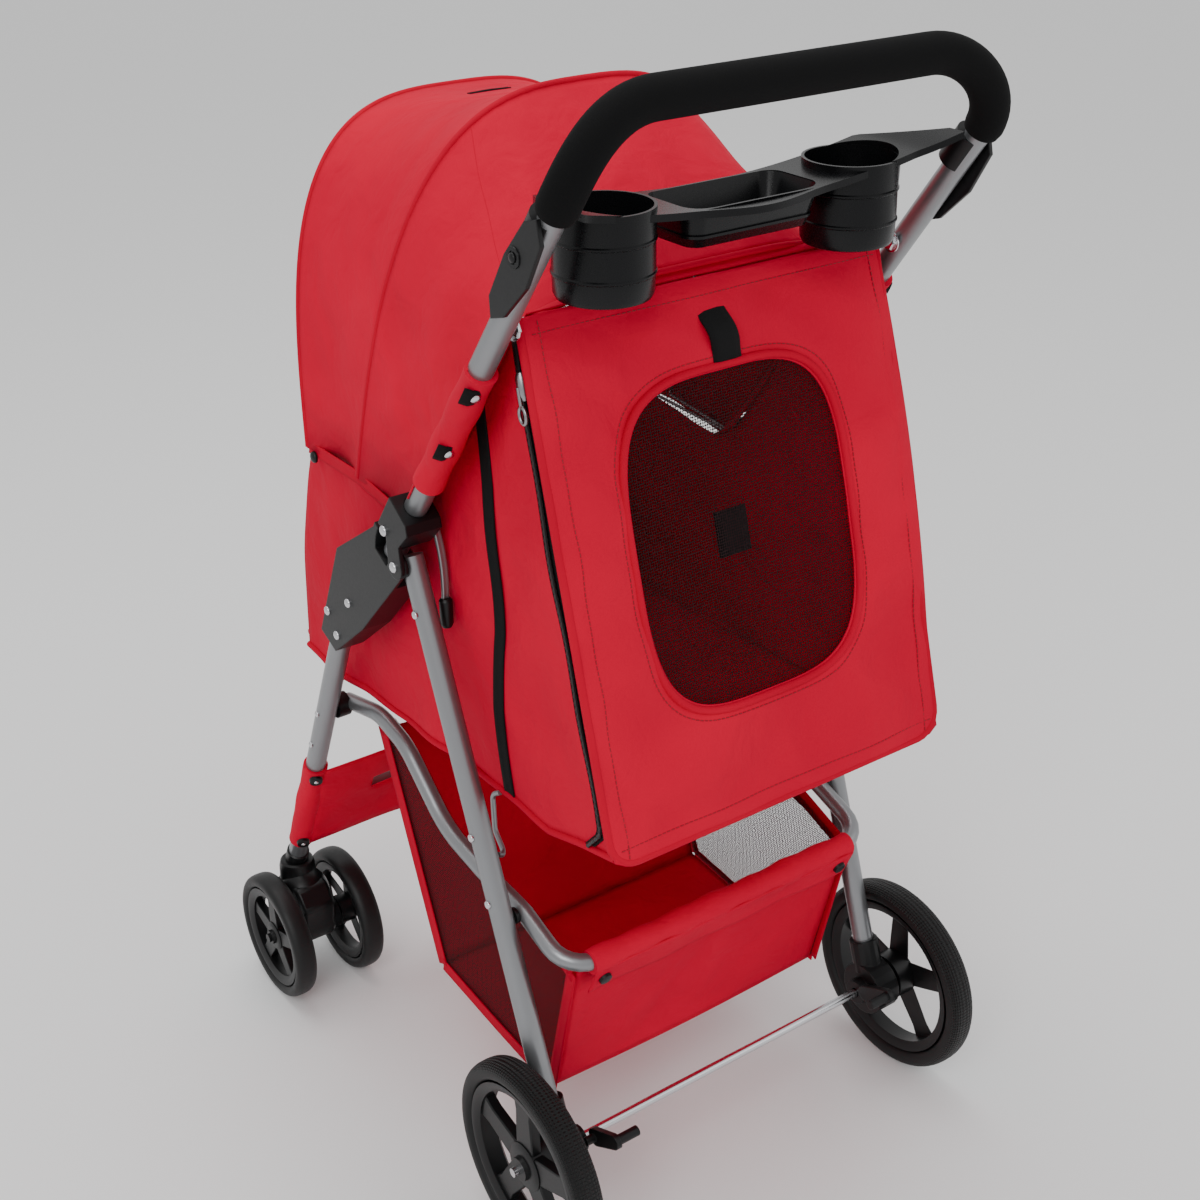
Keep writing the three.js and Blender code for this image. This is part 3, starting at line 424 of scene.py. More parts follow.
def prism(name, outline, x0, x1, material, body, soften=0.0012):
    """A flat moulding: an outline of (y, z) points given thickness from x0 to x1."""
    n = len(outline)
    vertices = [(x, y, z) for x in (x0, x1) for y, z in outline]
    area = sum(outline[i][0] * outline[(i + 1) % n][1] - outline[(i + 1) % n][0] * outline[i][1]
               for i in range(n))
    low, high = list(range(n)), list(range(n, 2 * n))
    faces = [low[::-1], high] + [[i, (i + 1) % n, n + (i + 1) % n, n + i] for i in range(n)]
    if area * (x1 - x0) < 0:
        faces = [f[::-1] for f in faces]
    obj = build(name, vertices, faces, material, body)
    bevel = obj.modifiers.new("soft edges", "BEVEL")
    bevel.width = soften
    bevel.segments = 2
    return obj


def wheel(name, x, y, radius, depth, half, hub_radius, spoke, tyre_look, body, face):
    """Tyre, rim, five spokes and a stepped hub; face is the side (+1 or -1) that shows."""
    ring = tyre(f"look_{name}_tyre", x, y, radius, depth, half, tyre_look, body)
    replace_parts(ring, f"{name}_tyre")
    rim = radius - depth
    width = half * 0.8
    hub = turned(f"look_{name}_hub", [(-width, rim), (width, rim), (width, rim - 0.004),
                                      (width * 0.7, rim - 0.009), (-width * 0.7, rim - 0.009),
                                      (-width, rim - 0.004)], (x, y, radius), (1, 0, 0), black,
                 body, sides=72, closed=True)
    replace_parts(hub, f"{name}_hub")
    for number in range(5):
        a = 2 * math.pi * (number / 5) + 0.35
        outline = []
        for r, w in ((hub_radius * 0.6, 1.0), (rim * 0.45, 0.92), (rim * 0.72, 0.82),
                     (rim * 0.88, 1.0), (rim - 0.005, 1.75)):
            outline.append((r, w * spoke / 2))
        outline += [(r, -w) for r, w in outline[::-1]]
        place = [(y + r * math.cos(a) - w * math.sin(a), radius + r * math.sin(a)
                  + w * math.cos(a)) for r, w in outline]
        prism(f"{name}_spoke_{number}", place, x - half * 0.3, x + half * 0.42 * face + 0.0001,
              black, body)
    steps = [(-half * 0.95, 1e-5), (-half * 0.95, hub_radius), (half * 0.5, hub_radius),
             (half * 0.62, hub_radius * 0.86), (half * 0.62, hub_radius * 0.5),
             (half * 0.9, hub_radius * 0.46), (half * 0.9, 1e-5)]
    turned(f"{name}_boss", [(a * face, r) for a, r in steps][::1 if face > 0 else -1],
           (x, y, radius), (1, 0, 0), black, body, sides=36)


for side, sign in SIDES:
    wheel(f"rear_wheel_{side}", 0.209 * sign, 0.204, 0.093, 0.017, 0.0135, 0.022, 0.025,
          knurled, f"rear_wheel_{side}", sign)
    for which, offset in (("outer", 0.038), ("inner", -0.038)):
        wheel(f"front_wheel_{which}_{side}", (0.188 + offset) * sign, -0.232, 0.065, 0.013,
              0.011, 0.015, 0.017, smooth_tyre, f"front_wheel_{which}_{side}",
              sign if which == "outer" else -sign)

# ------------------------------------------------------------------ caster housings
# A black domed moulding between the twin wheels, turning on the front leg's foot.

for side, sign in SIDES:
    x = 0.188 * sign
    body = f"caster_{side}"
    a = np.linspace(0, math.pi, 20)
    dome = turned(f"look_caster_housing_{side}",
                  np.stack([-0.031 * np.cos(a), np.maximum(0.0265 * np.sin(a), 1e-5)], -1),
                  (x, -0.246, 0.090), (0, 0, 1), black, body)
    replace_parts(dome, f"caster_housing_{side}")
    turned(f"caster_stem_{side}", [(0, 0.019), (0.030, 0.018), (0.036, 0.0165), (0.0375, 0.0145),
                                   (0.0375, 1e-5)], (x, -0.256, 0.092), (0, 0, 1), black, body)
    arc = [(-0.232 + 0.019 * math.cos(t), 0.065 + 0.019 * math.sin(t))
           for t in np.radians(np.linspace(-150, 20, 12))]
    prism(f"caster_web_{side}", arc + [(-0.210, 0.094), (-0.226, 0.112), (-0.268, 0.108),
                                       (-0.281, 0.088)], x - 0.018, x + 0.018, black, body, 0.004)
    turned(f"caster_hub_{side}", [(-0.0255, 1e-5), (-0.0255, 0.016), (0.0255, 0.016),
                                  (0.0255, 1e-5)], (x, -0.232, 0.065), (1, 0, 0), black, body)
    pin = tube(f"look_caster_axle_{side}", [(x + k, -0.232, 0.065) for k in (-0.0505, 0.0505)],
               0.0045, black, body, sides=20)
    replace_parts(pin, f"caster_axle_{side}")

# ------------------------------------------------------------------ basket tube
# One bent silver tube: it starts beside the front legs, dips behind them, is pinned to the rear
# legs and ends as the bar under the basket's rear sleeve.


def rounded(points, radii, count=7):
    """Corner points with each bend replaced by an arc of its radius."""
    points = [np.array(p, float) for p in points]
    line = [points[0]]
    for before, here, after, radius in zip(points, points[1:], points[2:], radii):
        a = (here - before) / np.linalg.norm(here - before)
        b = (after - here) / np.linalg.norm(after - here)
        turn = math.acos(np.clip(a.dot(b), -1, 1))
        inward = b - a * a.dot(b)
        inward /= np.linalg.norm(inward)
        start = here - a * radius * math.tan(turn / 2)
        for t in np.linspace(0, turn, count):
            line.append(start + a * radius * math.sin(t) + inward * radius * (1 - math.cos(t)))
    line.append(points[-1])
    return np.array(line)


half = [(0.162, -0.160, 0.352), (0.162, -0.098, 0.367), (0.162, -0.052, 0.356),
        (0.162, 0.012, 0.303), (0.162, 0.070, 0.293), (0.162, 0.132, 0.288),
        (0.162, 0.196, 0.266)]
path = half + [(-x, y, z) for x, y, z in half[::-1]]
bends = [0.06, 0.06, 0.08, 0.06, 0.03, 0.028, 0.028, 0.03, 0.06, 0.08, 0.06, 0.06]
rail = tube("look_basket_tube", rounded(path, bends), 0.0075, silver, "basket")
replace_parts(rail, "basket_tube")
for side, sign in SIDES:
    turned(f"basket_bush_{side}", [(-0.006, 1e-5), (-0.006, 0.0115), (0.006, 0.0115),
                                   (0.006, 1e-5)], (0.1725 * sign, -0.156, 0.353), (1, 0, 0),
           black, "basket", sides=28)

# ------------------------------------------------------------------ basket cloth
# Red polyester front, floor and rear with black net sides bound in red. The rear hem is a
# sleeve round the tube's rear bar with a snap near each end. The floor sags.


def net_material(name, colour, open_share, pitch, across, along):
    """Knitted net: threads with round holes between, spaced `pitch` in the object's own plane
    of the axes `across` and `along`."""
    material = principled(name, colour, 0.8, Specular_IOR_Level=0.2)
    tree = material.node_tree
    shader = tree.nodes["Principled BSDF"]
    output = tree.nodes["Material Output"]
    place = tree.nodes.new("ShaderNodeTexCoord")
    split = tree.nodes.new("ShaderNodeSeparateXYZ")
    plane = tree.nodes.new("ShaderNodeCombineXYZ")
    tree.links.new(place.outputs["Object"], split.inputs["Vector"])
    tree.links.new(split.outputs[across], plane.inputs["X"])
    tree.links.new(split.outputs[along], plane.inputs["Y"])
    cells = tree.nodes.new("ShaderNodeTexVoronoi")
    cells.voronoi_dimensions = "2D"
    cells.inputs["Scale"].default_value = 1 / pitch
    cells.inputs["Randomness"].default_value = 0.25
    tree.links.new(plane.outputs["Vector"], cells.inputs["Vector"])
    limit = tree.nodes.new("ShaderNodeMath")
    limit.operation = "LESS_THAN"
    limit.inputs[1].default_value = open_share
    tree.links.new(cells.outputs["Distance"], limit.inputs[0])
    clear = tree.nodes.new("ShaderNodeBsdfTransparent")
    mix = tree.nodes.new("ShaderNodeMixShader")
    tree.links.new(limit.outputs[0], mix.inputs[0])
    tree.links.new(shader.outputs[0], mix.inputs[1])
    tree.links.new(clear.outputs[0], mix.inputs[2])
    tree.links.new(mix.outputs[0], output.inputs["Surface"])
    return material


net = net_material("black_net", (0.006, 0.004, 0.0045), 0.37, 0.0021, "Y", "Z")
binding = cloth_material("red_binding", (0.50, 0.001, 0.024), 0.5)


def lofted(first, second, n, m, bulge, ripple=0.0):
    """Sheet between two lines of points: straight from one to the other, pushed along its
    normal by bulge sin(pi s) sin(pi t) plus small ripples that fade at the edges."""
    def even(line):
        line = np.asarray(line, float)
        length = np.r_[0, np.cumsum(np.linalg.norm(np.diff(line, axis=0), axis=1))]
        return np.stack([np.interp(np.linspace(0, length[-1], n), length, line[:, k])
                         for k in range(3)], -1)
    a, b = even(first), even(second)
    t = np.linspace(0, 1, m)[None, :, None]
    grid = a[:, None] * (1 - t) + b[:, None] * t
    du, dv = np.gradient(grid, axis=0), np.gradient(grid, axis=1)
    normal = np.cross(du, dv)
    normal /= np.linalg.norm(normal, axis=2)[..., None] + 1e-12
    s = np.linspace(0, 1, n)[:, None]
    tt = t[..., 0]
    edge = np.sin(np.pi * s) ** 0.7 * np.sin(np.pi * tt) ** 0.7
    x, y, z = grid[..., 0], grid[..., 1], grid[..., 2]
    wave = (np.sin(31 * x + 17 * y + 12 * z) + 0.6 * np.sin(52 * y - 38 * z + 1.3)
            + 0.4 * np.sin(83 * x + 61 * z))
    return grid + normal * (bulge * edge + ripple * edge * wave)[..., None]


def ribbon(name, line, width, across, material, body, lift=0.0006, thickness=0.0012):
    """A flat strip along a line of points, `width` wide in the direction `across`."""
    line, across = np.asarray(line, float), np.broadcast_to(across, np.shape(line))
    across = across / np.linalg.norm(across, axis=1)[:, None]
    step = np.gradient(line, axis=0)
    normal = np.cross(across, step)
    normal /= np.linalg.norm(normal, axis=1)[:, None]
    share = np.linspace(-0.5, 0.5, 5)
    grid = (line[:, None] + across[:, None] * (share * width)[None, :, None]
            + normal[:, None] * lift * (1 - (2 * share) ** 4)[None, :, None])
    return thicken(surface(name, grid, material, body, flip=True), thickness, 0)


W = 0.1475
front_top, front_foot = (-0.118, 0.338), (-0.030, 0.122)
rear_foot, rear_top = (0.150, 0.106), (0.188, 0.254)
across_x = np.linspace(-W, W, 40)


def across(point, dip=0.0):
    """Line across the stroller at (y, z), dipping in the middle."""
    return np.stack([across_x, np.full(40, point[0]),
                     point[1] - dip * np.cos(np.pi * across_x / (2 * W))], -1)


rear_panel = surface("look_basket_rear", lofted(across(rear_top), across(rear_foot, 0.004),
                                                40, 24, -0.007, 0.0012), red, "basket")
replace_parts(thicken(rear_panel, 0.0014), "basket_rear")
front_panel = surface("look_basket_front", lofted(across(front_top, 0.01), across(front_foot),
                                                  40, 24, 0.006, 0.002), red, "basket")
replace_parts(thicken(front_panel, 0.0014, 0), "basket_front")
floor = surface("look_basket_floor", lofted(across(front_foot), across(rear_foot, 0.004), 40, 24,
                                            0.006, 0.001), red, "basket")
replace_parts(thicken(floor, 0.0014, 0), "basket_floor")
for side, sign in SIDES:
    x = 0.1495 * sign
    top = [(x, -0.118, 0.340), (x, -0.092, 0.352), (x, -0.058, 0.342), (x, 0.006, 0.294),
           (x, 0.066, 0.281), (x, 0.126, 0.274), (x, 0.184, 0.252)]
    foot = [(x, *front_foot), (x, 0.06, 0.113), (x, *rear_foot)]
    net_side = surface(f"look_basket_side_{side}", lofted(top, foot, 40, 24, 0.004 * sign), net,
                       "basket")
    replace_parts(net_side, f"basket_side_{side}")
    edges = {"top": (top, (0, 0, 1), 0.018), "foot": (foot, (0, 0, 1), 0.012),
             "front": ([top[0], foot[0]], (0, 1, 0.4), 0.014),
             "rear": ([top[-1], foot[-1]], (0, 1, -0.25), 0.012)}
    for where, (line, direction, width) in edges.items():
        line = np.asarray(line) + np.array([0.0012 * sign, 0, 0])
        fine = lofted(line, line + 0.001, 24, 2, 0)[:, 0]
        ribbon(f"basket_binding_{where}_{side}", fine, width, direction, binding, "basket")
sleeve_x = np.linspace(-0.141, 0.141, 60)
wobble = 0.0105 + 0.0006 * np.sin(sleeve_x * 160) + 0.0005 * np.sin(sleeve_x * 61)
sleeve = tube("basket_sleeve", [(x, 0.196, 0.266) for x in sleeve_x], wobble, red, "basket")
flap_top = np.stack([sleeve_x, np.full(60, 0.2055), np.full(60, 0.262)], -1)
flap_foot = np.stack([sleeve_x, np.full(60, 0.1935),
                      0.234 + 0.0012 * np.sin(sleeve_x * 70)], -1)
flap = surface("basket_flap", lofted(flap_top, flap_foot, 60, 8, -0.001, 0.0006), red, "basket")
thicken(flap, 0.0014, 0)
for number, sign in enumerate((1, -1)):
    normal = np.array([0, 0.93, -0.36])
    centre = np.array([0.129 * sign, 0.2005, 0.248])
    turned(f"basket_snap_{number}", [(0, 0.006), (0.0025, 0.0056), (0.0032, 0.004),
                                     (0.0032, 1e-5)], centre, normal, black, "basket", sides=24)

# ------------------------------------------------------------------ handle
# One silver tube bent into a U, with black foam over the top and both corners.


def handle_arm(u, v=0.0, x=0.188):
    """Point on a handle arm: u along it from its lower end, v square to it to the rear."""
    return np.array([x, -0.004 + 0.5905 * u + 0.8070 * v, 0.570 + 0.8070 * u - 0.5905 * v])


arm_end = np.array([0.188, -0.004 + 0.7317 * 0.329, 0.899])
bar_end = np.array([0.118, 0.247, 0.962])
control = [arm_end, arm_end + 0.036 * np.array([0, 0.5905, 0.807]),
           bar_end + np.array([0.042, 0, 0]), bar_end]
t = np.linspace(0, 1, 22)[:, None]
corner = (control[0] * (1 - t) ** 3 + 3 * control[1] * t * (1 - t) ** 2
          + 3 * control[2] * t ** 2 * (1 - t) + control[3] * t ** 3)
flipped = corner[::-1] * np.array([-1, 1, 1])
u_line = np.vstack([handle_arm(0.007), corner, flipped, handle_arm(0.007, x=-0.188)])
handle = tube("look_handle_tube", u_line, 0.0095, silver, "handle")
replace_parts(handle, "handle_tube")
foam = principled("black_foam", (0.0022, 0.0022, 0.0024), 0.92, grain=(1300, 0.0002),
                  Specular_IOR_Level=0.16)
grip_line = np.vstack([corner, flipped])
radius = np.full(len(grip_line), 0.0147)
radius[[0, -1]] = 0.0135
grip = tube("look_handle_grip", grip_line, radius, foam, "handle", sides=40)
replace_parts(grip, "handle_grip")

# ------------------------------------------------------------------ tray
# Glossy black moulding between the arms: a sagging rim, two ribbed cups and a bin between them.

shell_look = principled("tray_plastic", (0.0028, 0.003, 0.0036), 0.27, grain=(420, 0.00001),
                        Specular_IOR_Level=0.22)


def rim_z(x):
    """Height of the tray's rim: lowest in the middle."""
    return 0.872 + 0.020 * (x / 0.176) ** 2


def cut(obj, *tools):
    """Cuts the tools out of obj and keeps the result as its plain mesh."""
    for tool in tools:
        boolean = obj.modifiers.new("cut", "BOOLEAN")
        boolean.object = tool
        boolean.solver = "EXACT"
    bpy.context.view_layer.update()
    done = bpy.data.meshes.new_from_object(obj.evaluated_get(bpy.context.evaluated_depsgraph_get()))
    obj.modifiers.clear()
    obj.data = done
    obj.data.shade_smooth()
    obj.data.set_sharp_from_angle(angle=0.6)
    for tool in tools:
        bpy.data.objects.remove(tool)
    return obj


def oblong(half_x, half_y, corner_radius, z, centre_y=0.182, count=8):
    """Rounded rectangle of points at height z."""
    points = []
    for quarter, (sx, sy) in enumerate(((1, 1), (-1, 1), (-1, -1), (1, -1))):
        for a in np.linspace(0, math.pi / 2, count) + quarter * math.pi / 2:
            points.append((sx * (half_x - corner_radius) + corner_radius * math.cos(a),
                           centre_y + sy * (half_y - corner_radius)
                           + corner_radius * math.sin(a), z))
    return np.array(points)


def stacked(name, loops, material, body, flip=False):
    """Skin over a stack of closed loops of points."""
    return surface(name, np.array(loops), material, body, wrap_j=True, flip=flip)


x = np.linspace(-0.1745, 0.1745, 81)
taper = np.clip((np.abs(x) - 0.146) / 0.030, 0, 1)
belly = 0.009 * np.cos(np.pi * np.clip(x / 0.13, -0.5, 0.5)) ** 2
edge_front = 0.1485 + 0.074 * taper ** 1.2
edge_rear = 0.2155 + belly + 0.019 * taper ** 1.3
edge_top = rim_z(x) + 0.008 * taper ** 1.6
rim_grid = np.stack([np.stack([x, edge, edge_top - drop], -1)
                     for edge, drop in ((edge_front, 0), (edge_rear, 0),
                                        (edge_rear, 0.0052), (edge_front, 0.0052))], 1)
rim_faces = [list(f) for f in grid_faces(81, 4, wrap_j=True)] + [[3, 2, 1, 0],
                                                                [320, 321, 322, 323]]
rim = build("look_tray", rim_grid.reshape(-1, 3), rim_faces, shell_look, "handle")
holes = []
for sign in (1, -1):
    holes.append(turned(f"hole_{sign}", [(0, 1e-5), (0, 0.0345), (0.09, 0.0345), (0.09, 1e-5)],
                        (0.112 * sign, 0.182, 0.84), (0, 0, 1), black, None))
loops = [oblong(0.0595, 0.0285, 0.013, z) for z in (0.83, 0.92)]
n = len(loops[0])
holes.append(build("hole_bin", np.vstack(loops), [list(range(n))[::-1], list(range(n, 2 * n))]
                   + [[i, (i + 1) % n, n + (i + 1) % n, n + i] for i in range(n)], black, None))
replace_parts(cut(rim, *holes), "tray")
rim_bevel = rim.modifiers.new("soft edges", "BEVEL")
rim_bevel.width = 0.0009
rim_bevel.segments = 2
for side, sign in SIDES:
    top = rim_z(0.112) + 0.001
    outer = [(0.817, 1e-5), (0.817, 0.030), (0.8185, 0.0335), (0.822, 0.0352)]
    for z in (0.836, 0.859):
        outer += [(z - 0.0016, 0.0357), (z - 0.0006, 0.0367), (z + 0.0006, 0.0367),
                  (z + 0.0016, 0.0359)]
    outer += [(top, 0.0365), (top, 0.0342), (0.825, 0.0328), (0.8205, 0.030), (0.8198, 1e-5)]
    turned(f"tray_cup_{side}", outer, (0.112 * sign, 0.182, 0), (0, 0, 1), shell_look, "handle",
           sides=72)
bin_loops = []
for z, inset in ((0.8435, 0.03), (0.8435, 0.012), (0.845, 0.008), (0.851, 0.006),
                 (0.8515, 0.0048), (0.8535, 0.0045), (0.854, 0.0056), (0.8735, 0.0),
                 (0.8735, 0.0022), (0.856, 0.008), (0.8475, 0.011), (0.8465, 0.03)):
    loop = oblong(0.0615 - inset * 0.9, 0.0305 - inset * 0.9, max(0.014 - inset * 0.4, 0.002), z,
                  count=10)
    share = np.clip((loop[:, 1] - 0.182) / 0.0305, 0, 1) ** 3
    bulge = 0.010 * np.cos(np.pi * np.clip(loop[:, 0] / 0.13, -0.5, 0.5)) ** 2
    loop[:, 1] += bulge * share * min((z - 0.836) / 0.035, 1)
    bin_loops.append(loop)
bin_skin = stacked("tray_bin", bin_loops, shell_look, "handle")
for sign, side in ((1, "left"), (-1, "right")):
    place = handle_arm(0.364, -0.004, 0.2013 * sign)
    turned(f"ear_recess_{side}", [(0, 0.0075), (0.0006, 0.0072), (0.0006, 0.0045),
                                  (-0.0002, 0.0042), (-0.0002, 1e-5)], place, (sign, 0, 0),
           shell_look, "handle", sides=28)
    domed(f"ear_screw_{side}", place, (sign, 0, 0), 0.0036, black, "handle")
    wrap = [handle_arm(k, -0.004, 0.188 * sign) for k in np.linspace(0.372, 0.400, 6)]
    tube(f"ear_wrap_{side}", wrap, 0.0126, black, "handle")

# ------------------------------------------------------------------ cross wire and latch strips
# A bright wire with a hook at each end runs over the rear door; a hex bolt holds each hook.
# Beside each pivot block is a bowed silver strip with a black plastic tip.

wire = tube("look_cross_wire", rounded([(-0.176, 0.157, 0.806), (-0.168, 0.152, 0.802),
                                        (0.168, 0.152, 0.802), (0.176, 0.157, 0.806)],
                                       [0.01, 0.01]), 0.002, bright, "handle", sides=16)
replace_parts(wire, "cross_wire")
for side, sign in SIDES:
    eye = handle_arm(0.287, 0.0, 0.1765 * sign)
    turned(f"wire_bolt_{side}", [(0, 0.0062), (0.0035, 0.0062), (0.0045, 0.005),
                                 (0.0045, 1e-5)], eye, (-sign, 0, 0), bright, "handle", sides=6)
    turned(f"wire_washer_{side}", [(0, 0.008), (0.0012, 0.008), (0.0012, 1e-5)], eye,
           (-sign, 0, 0), bright, "handle", sides=24)
    x = 0.169 * sign
    t = np.linspace(0, 1, 24)[:, None]
    low, mid, high = (np.array([x, 0.042, 0.537]), np.array([x, 0.050, 0.585]),
                      np.array([x, 0.024, 0.619]))
    bow = low * (1 - t) ** 2 + 2 * mid * t * (1 - t) + high * t ** 2
    strip = ribbon(f"look_latch_{side}", bow, 0.006, (1, 0, 0), silver, f"latch_{side}",
                   thickness=0.0024)
    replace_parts(strip, f"latch_{side}")
    turned(f"latch_tip_{side}", [(-0.016, 1e-5), (-0.0155, 0.004), (-0.012, 0.0055),
                                 (0.008, 0.0055), (0.010, 0.004), (0.010, 1e-5)],
           (x, 0.043, 0.535), (0, 0, 1), black, f"latch_{side}", sides=24)

# ------------------------------------------------------------------ cabin
# Red polyester walls sewn to a stiff floor, with a welt along the bottom seam. Each side has a
# black zip along the rear door and a black webbing strip in front of it.


def side_x(y, z):
    """How far a cabin side stands out at (y, z): a soft bulge with shallow folds."""
    s = np.clip((y + 0.243) / 0.48, 0, 1)
    t = np.clip((z - 0.38) / 0.36, 0, 1)
    bulge = 0.0045 * np.sin(np.pi * s) * np.sin(np.pi * t) ** 0.7
    fold = (0.0014 * np.sin(38 * y + 21 * z) + 0.0010 * np.sin(75 * y - 30 * z + 0.8)
            + 0.0008 * np.sin(24 * y + 64 * z + 2))
    return 0.157 + bulge + fold * np.sin(np.pi * s) ** 0.4


def bent(points, n):
    """Points spread evenly along a broken line."""
    points = np.asarray(points, float)
    length = np.r_[0, np.cumsum(np.linalg.norm(np.diff(points, axis=0), axis=1))]
    place = np.linspace(0, length[-1], n)
    return np.stack([np.interp(place, length, points[:, k]) for k in range(points.shape[1])], -1)


webbing = principled("black_webbing", (0.003, 0.003, 0.0032), 0.8, grain=(1800, 0.0002),
                     Specular_IOR_Level=0.2)
zip_teeth = principled("zip_teeth", (0.005, 0.005, 0.0055), 0.35)
bottom = [(-0.243, 0.374), (-0.200, 0.369), (-0.129, 0.376), (-0.072, 0.378), (0.021, 0.387),
          (0.169, 0.388), (0.255, 0.409)]
top = [(-0.193, 0.610), (-0.100, 0.590), (-0.024, 0.583), (0.004, 0.600), (0.146, 0.798)]
low, high = bent(bottom, 80), bent(top, 80)
t = np.linspace(0, 1, 50)[None, :, None]
flat_side = low[:, None] * (1 - t) + high[:, None] * t
s = np.linspace(0, 1, 80)[:, None]
flat_side[..., 0] -= 0.012 * np.sin(np.pi * t[..., 0]) * (1 - s) ** 4
for side, sign in SIDES:
    depth_x = side_x(flat_side[..., 0], flat_side[..., 1]) * sign
    grid = np.stack([depth_x, flat_side[..., 0], flat_side[..., 1]], -1)
    wall = surface(f"look_cabin_side_{side}", grid, red, None, flip=sign < 0)
    thicken(wall, 0.0015)
    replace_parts(wall, f"cabin_side_{side}")
    soft = [wall]
    welt_line = np.stack([side_x(low[:, 0], low[:, 1]) * sign, low[:, 0], low[:, 1]], -1)
    soft.append(tube(f"cabin_welt_{side}", welt_line, 0.0032, binding, None, sides=12))
    strap = bent([(0.088, 0.722), (0.098, 0.660), (0.104, 0.600), (0.110, 0.540),
                  (0.106, 0.470), (0.111, 0.389)], 60)
    strap[:, 0] += 0.0014 * np.sin(strap[:, 1] * 60)
    line = np.stack([(side_x(strap[:, 0], strap[:, 1]) + 0.0012) * sign, strap[:, 0],
                     strap[:, 1]], -1)
    soft.append(ribbon(f"cabin_webbing_{side}", line, 0.014, (0, 1, 0.1), webbing, None))
    zip_path = rounded([(0.1535, 0.790, 0), (0.2535, 0.424, 0), (0.236, 0.4045, 0)], [0.012])
    zip_line = bent(zip_path[:, :2], 150)
    zip_line[:, 0] -= 0.0135
    edge = np.stack([(side_x(zip_line[:, 0], zip_line[:, 1]) + 0.0010) * sign, zip_line[:, 0],
                     zip_line[:, 1]], -1)
    soft.append(ribbon(f"zip_tape_{side}", edge, 0.013, (0, 1, 0.27), webbing, None))
    teeth = np.where(np.arange(150) % 2, 0.0022, 0.0013)
    soft.append(tube(f"zip_teeth_{side}", edge + np.array([0.0016 * sign, 0, 0]), teeth,
                     zip_teeth, None, sides=8))
    for piece in soft:
        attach(piece, "frame")
        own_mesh(piece)

span = np.linspace(-0.1562, 0.1562, 40)
front_low = np.stack([span, np.full(40, -0.243), np.full(40, 0.386)], -1)
front_mid = np.stack([span, np.full(40, -0.221), np.full(40, 0.533)], -1)
front_high = np.stack([span, np.full(40, -0.194), np.full(40, 0.610)], -1)
front_grid = np.concatenate([lofted(front_low, front_mid, 40, 16, -0.004, 0.001),
                             lofted(front_mid, front_high, 40, 9, -0.001)[:, 1:]], axis=1)
front = surface("look_cabin_front", front_grid, red, "frame", flip=True)
thicken(front, 0.0015, 0)
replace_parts(front, "cabin_front")
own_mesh(front)
for edge_name, line in (("foot", front_low), ("head", front_high)):
    welt_bar = tube(f"cabin_front_welt_{edge_name}", line, 0.003, binding, "frame", sides=12)
    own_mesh(welt_bar)
floor_low = np.stack([span * 0.985, np.full(40, -0.240), np.full(40, 0.3835)], -1)
floor_high = np.stack([span * 0.985, np.full(40, 0.250), np.full(40, 0.4085)], -1)
pad = surface("look_cabin_floor", lofted(floor_low, floor_high, 40, 30, -0.0015), red, "frame",
              flip=True)
thicken(pad, 0.006, 0)
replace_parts(pad, "cabin_floor")

# ------------------------------------------------------------------ rear door
# Red polyester panel with a folded, stitched hem and a large rounded net window bound in red.
# A black hook strap hangs over the window's top edge; a black patch shows through the net.

door_top = np.array([0, 0.157, 0.806])
door_down = np.array([0, 0.26764, -0.96352])
door_out = np.array([0, 0.96352, 0.26764])
window_centre = 0.195


def on_door(x, down, out=0.0):
    """Point of the door plane: x across, `down` from its top edge, `out` from its face."""
    x, down, out = np.broadcast_arrays(x, down, out)
    return (door_top + x[..., None] * np.array([1, 0, 0]) + down[..., None] * door_down
            + out[..., None] * door_out)


def rounded_reach(angle, half_x, half_y, power):
    """Distance from the middle to a squarish oval in the direction `angle`."""
    return (np.abs(np.cos(angle) / half_x) ** power
            + np.abs(np.sin(angle) / half_y) ** power) ** (-1 / power)


def window_edge(angle, grow=0.0):
    reach = rounded_reach(angle, 0.1025 + grow, 0.125 + grow, 3.6)
    return reach * np.cos(angle), window_centre + reach * np.sin(angle)


def door_edge(angle):
    """Distance from the window's middle to the door's edge in the direction `angle`."""
    sideways = 0.166 / np.maximum(np.abs(np.cos(angle)), 1e-9)
    lengthways = np.where(np.sin(angle) > 0, 0.411 - window_centre, window_centre)
    return np.minimum(sideways, lengthways / np.maximum(np.abs(np.sin(angle)), 1e-9))


def door_relief(x, down):
    """Height of the cloth over the door's plane: puffed between window and edge, with a flat
    hem of double cloth and a few soft creases."""
    angle = np.arctan2(down - window_centre, x)
    near = rounded_reach(angle, 0.1025, 0.125, 3.6)
    share = (np.hypot(x, down - window_centre) - near) / (door_edge(angle) - near)
    share = np.clip(share, 0, 1)
    from_edge = np.minimum(0.166 - np.abs(x), np.minimum(down, 0.411 - down))
    hem = 0.0008 / (1 + np.exp((from_edge - 0.012) * 2500))
    crease = (0.0022 * np.sin(x * 42 + down * 13) + 0.0014 * np.sin(down * 60 - x * 24 + 1)
              + 0.0009 * np.sin(down * 118 + x * 80))
    return 0.0035 * np.sin(np.pi * share) + hem + crease * np.sin(np.pi * share) ** 0.5


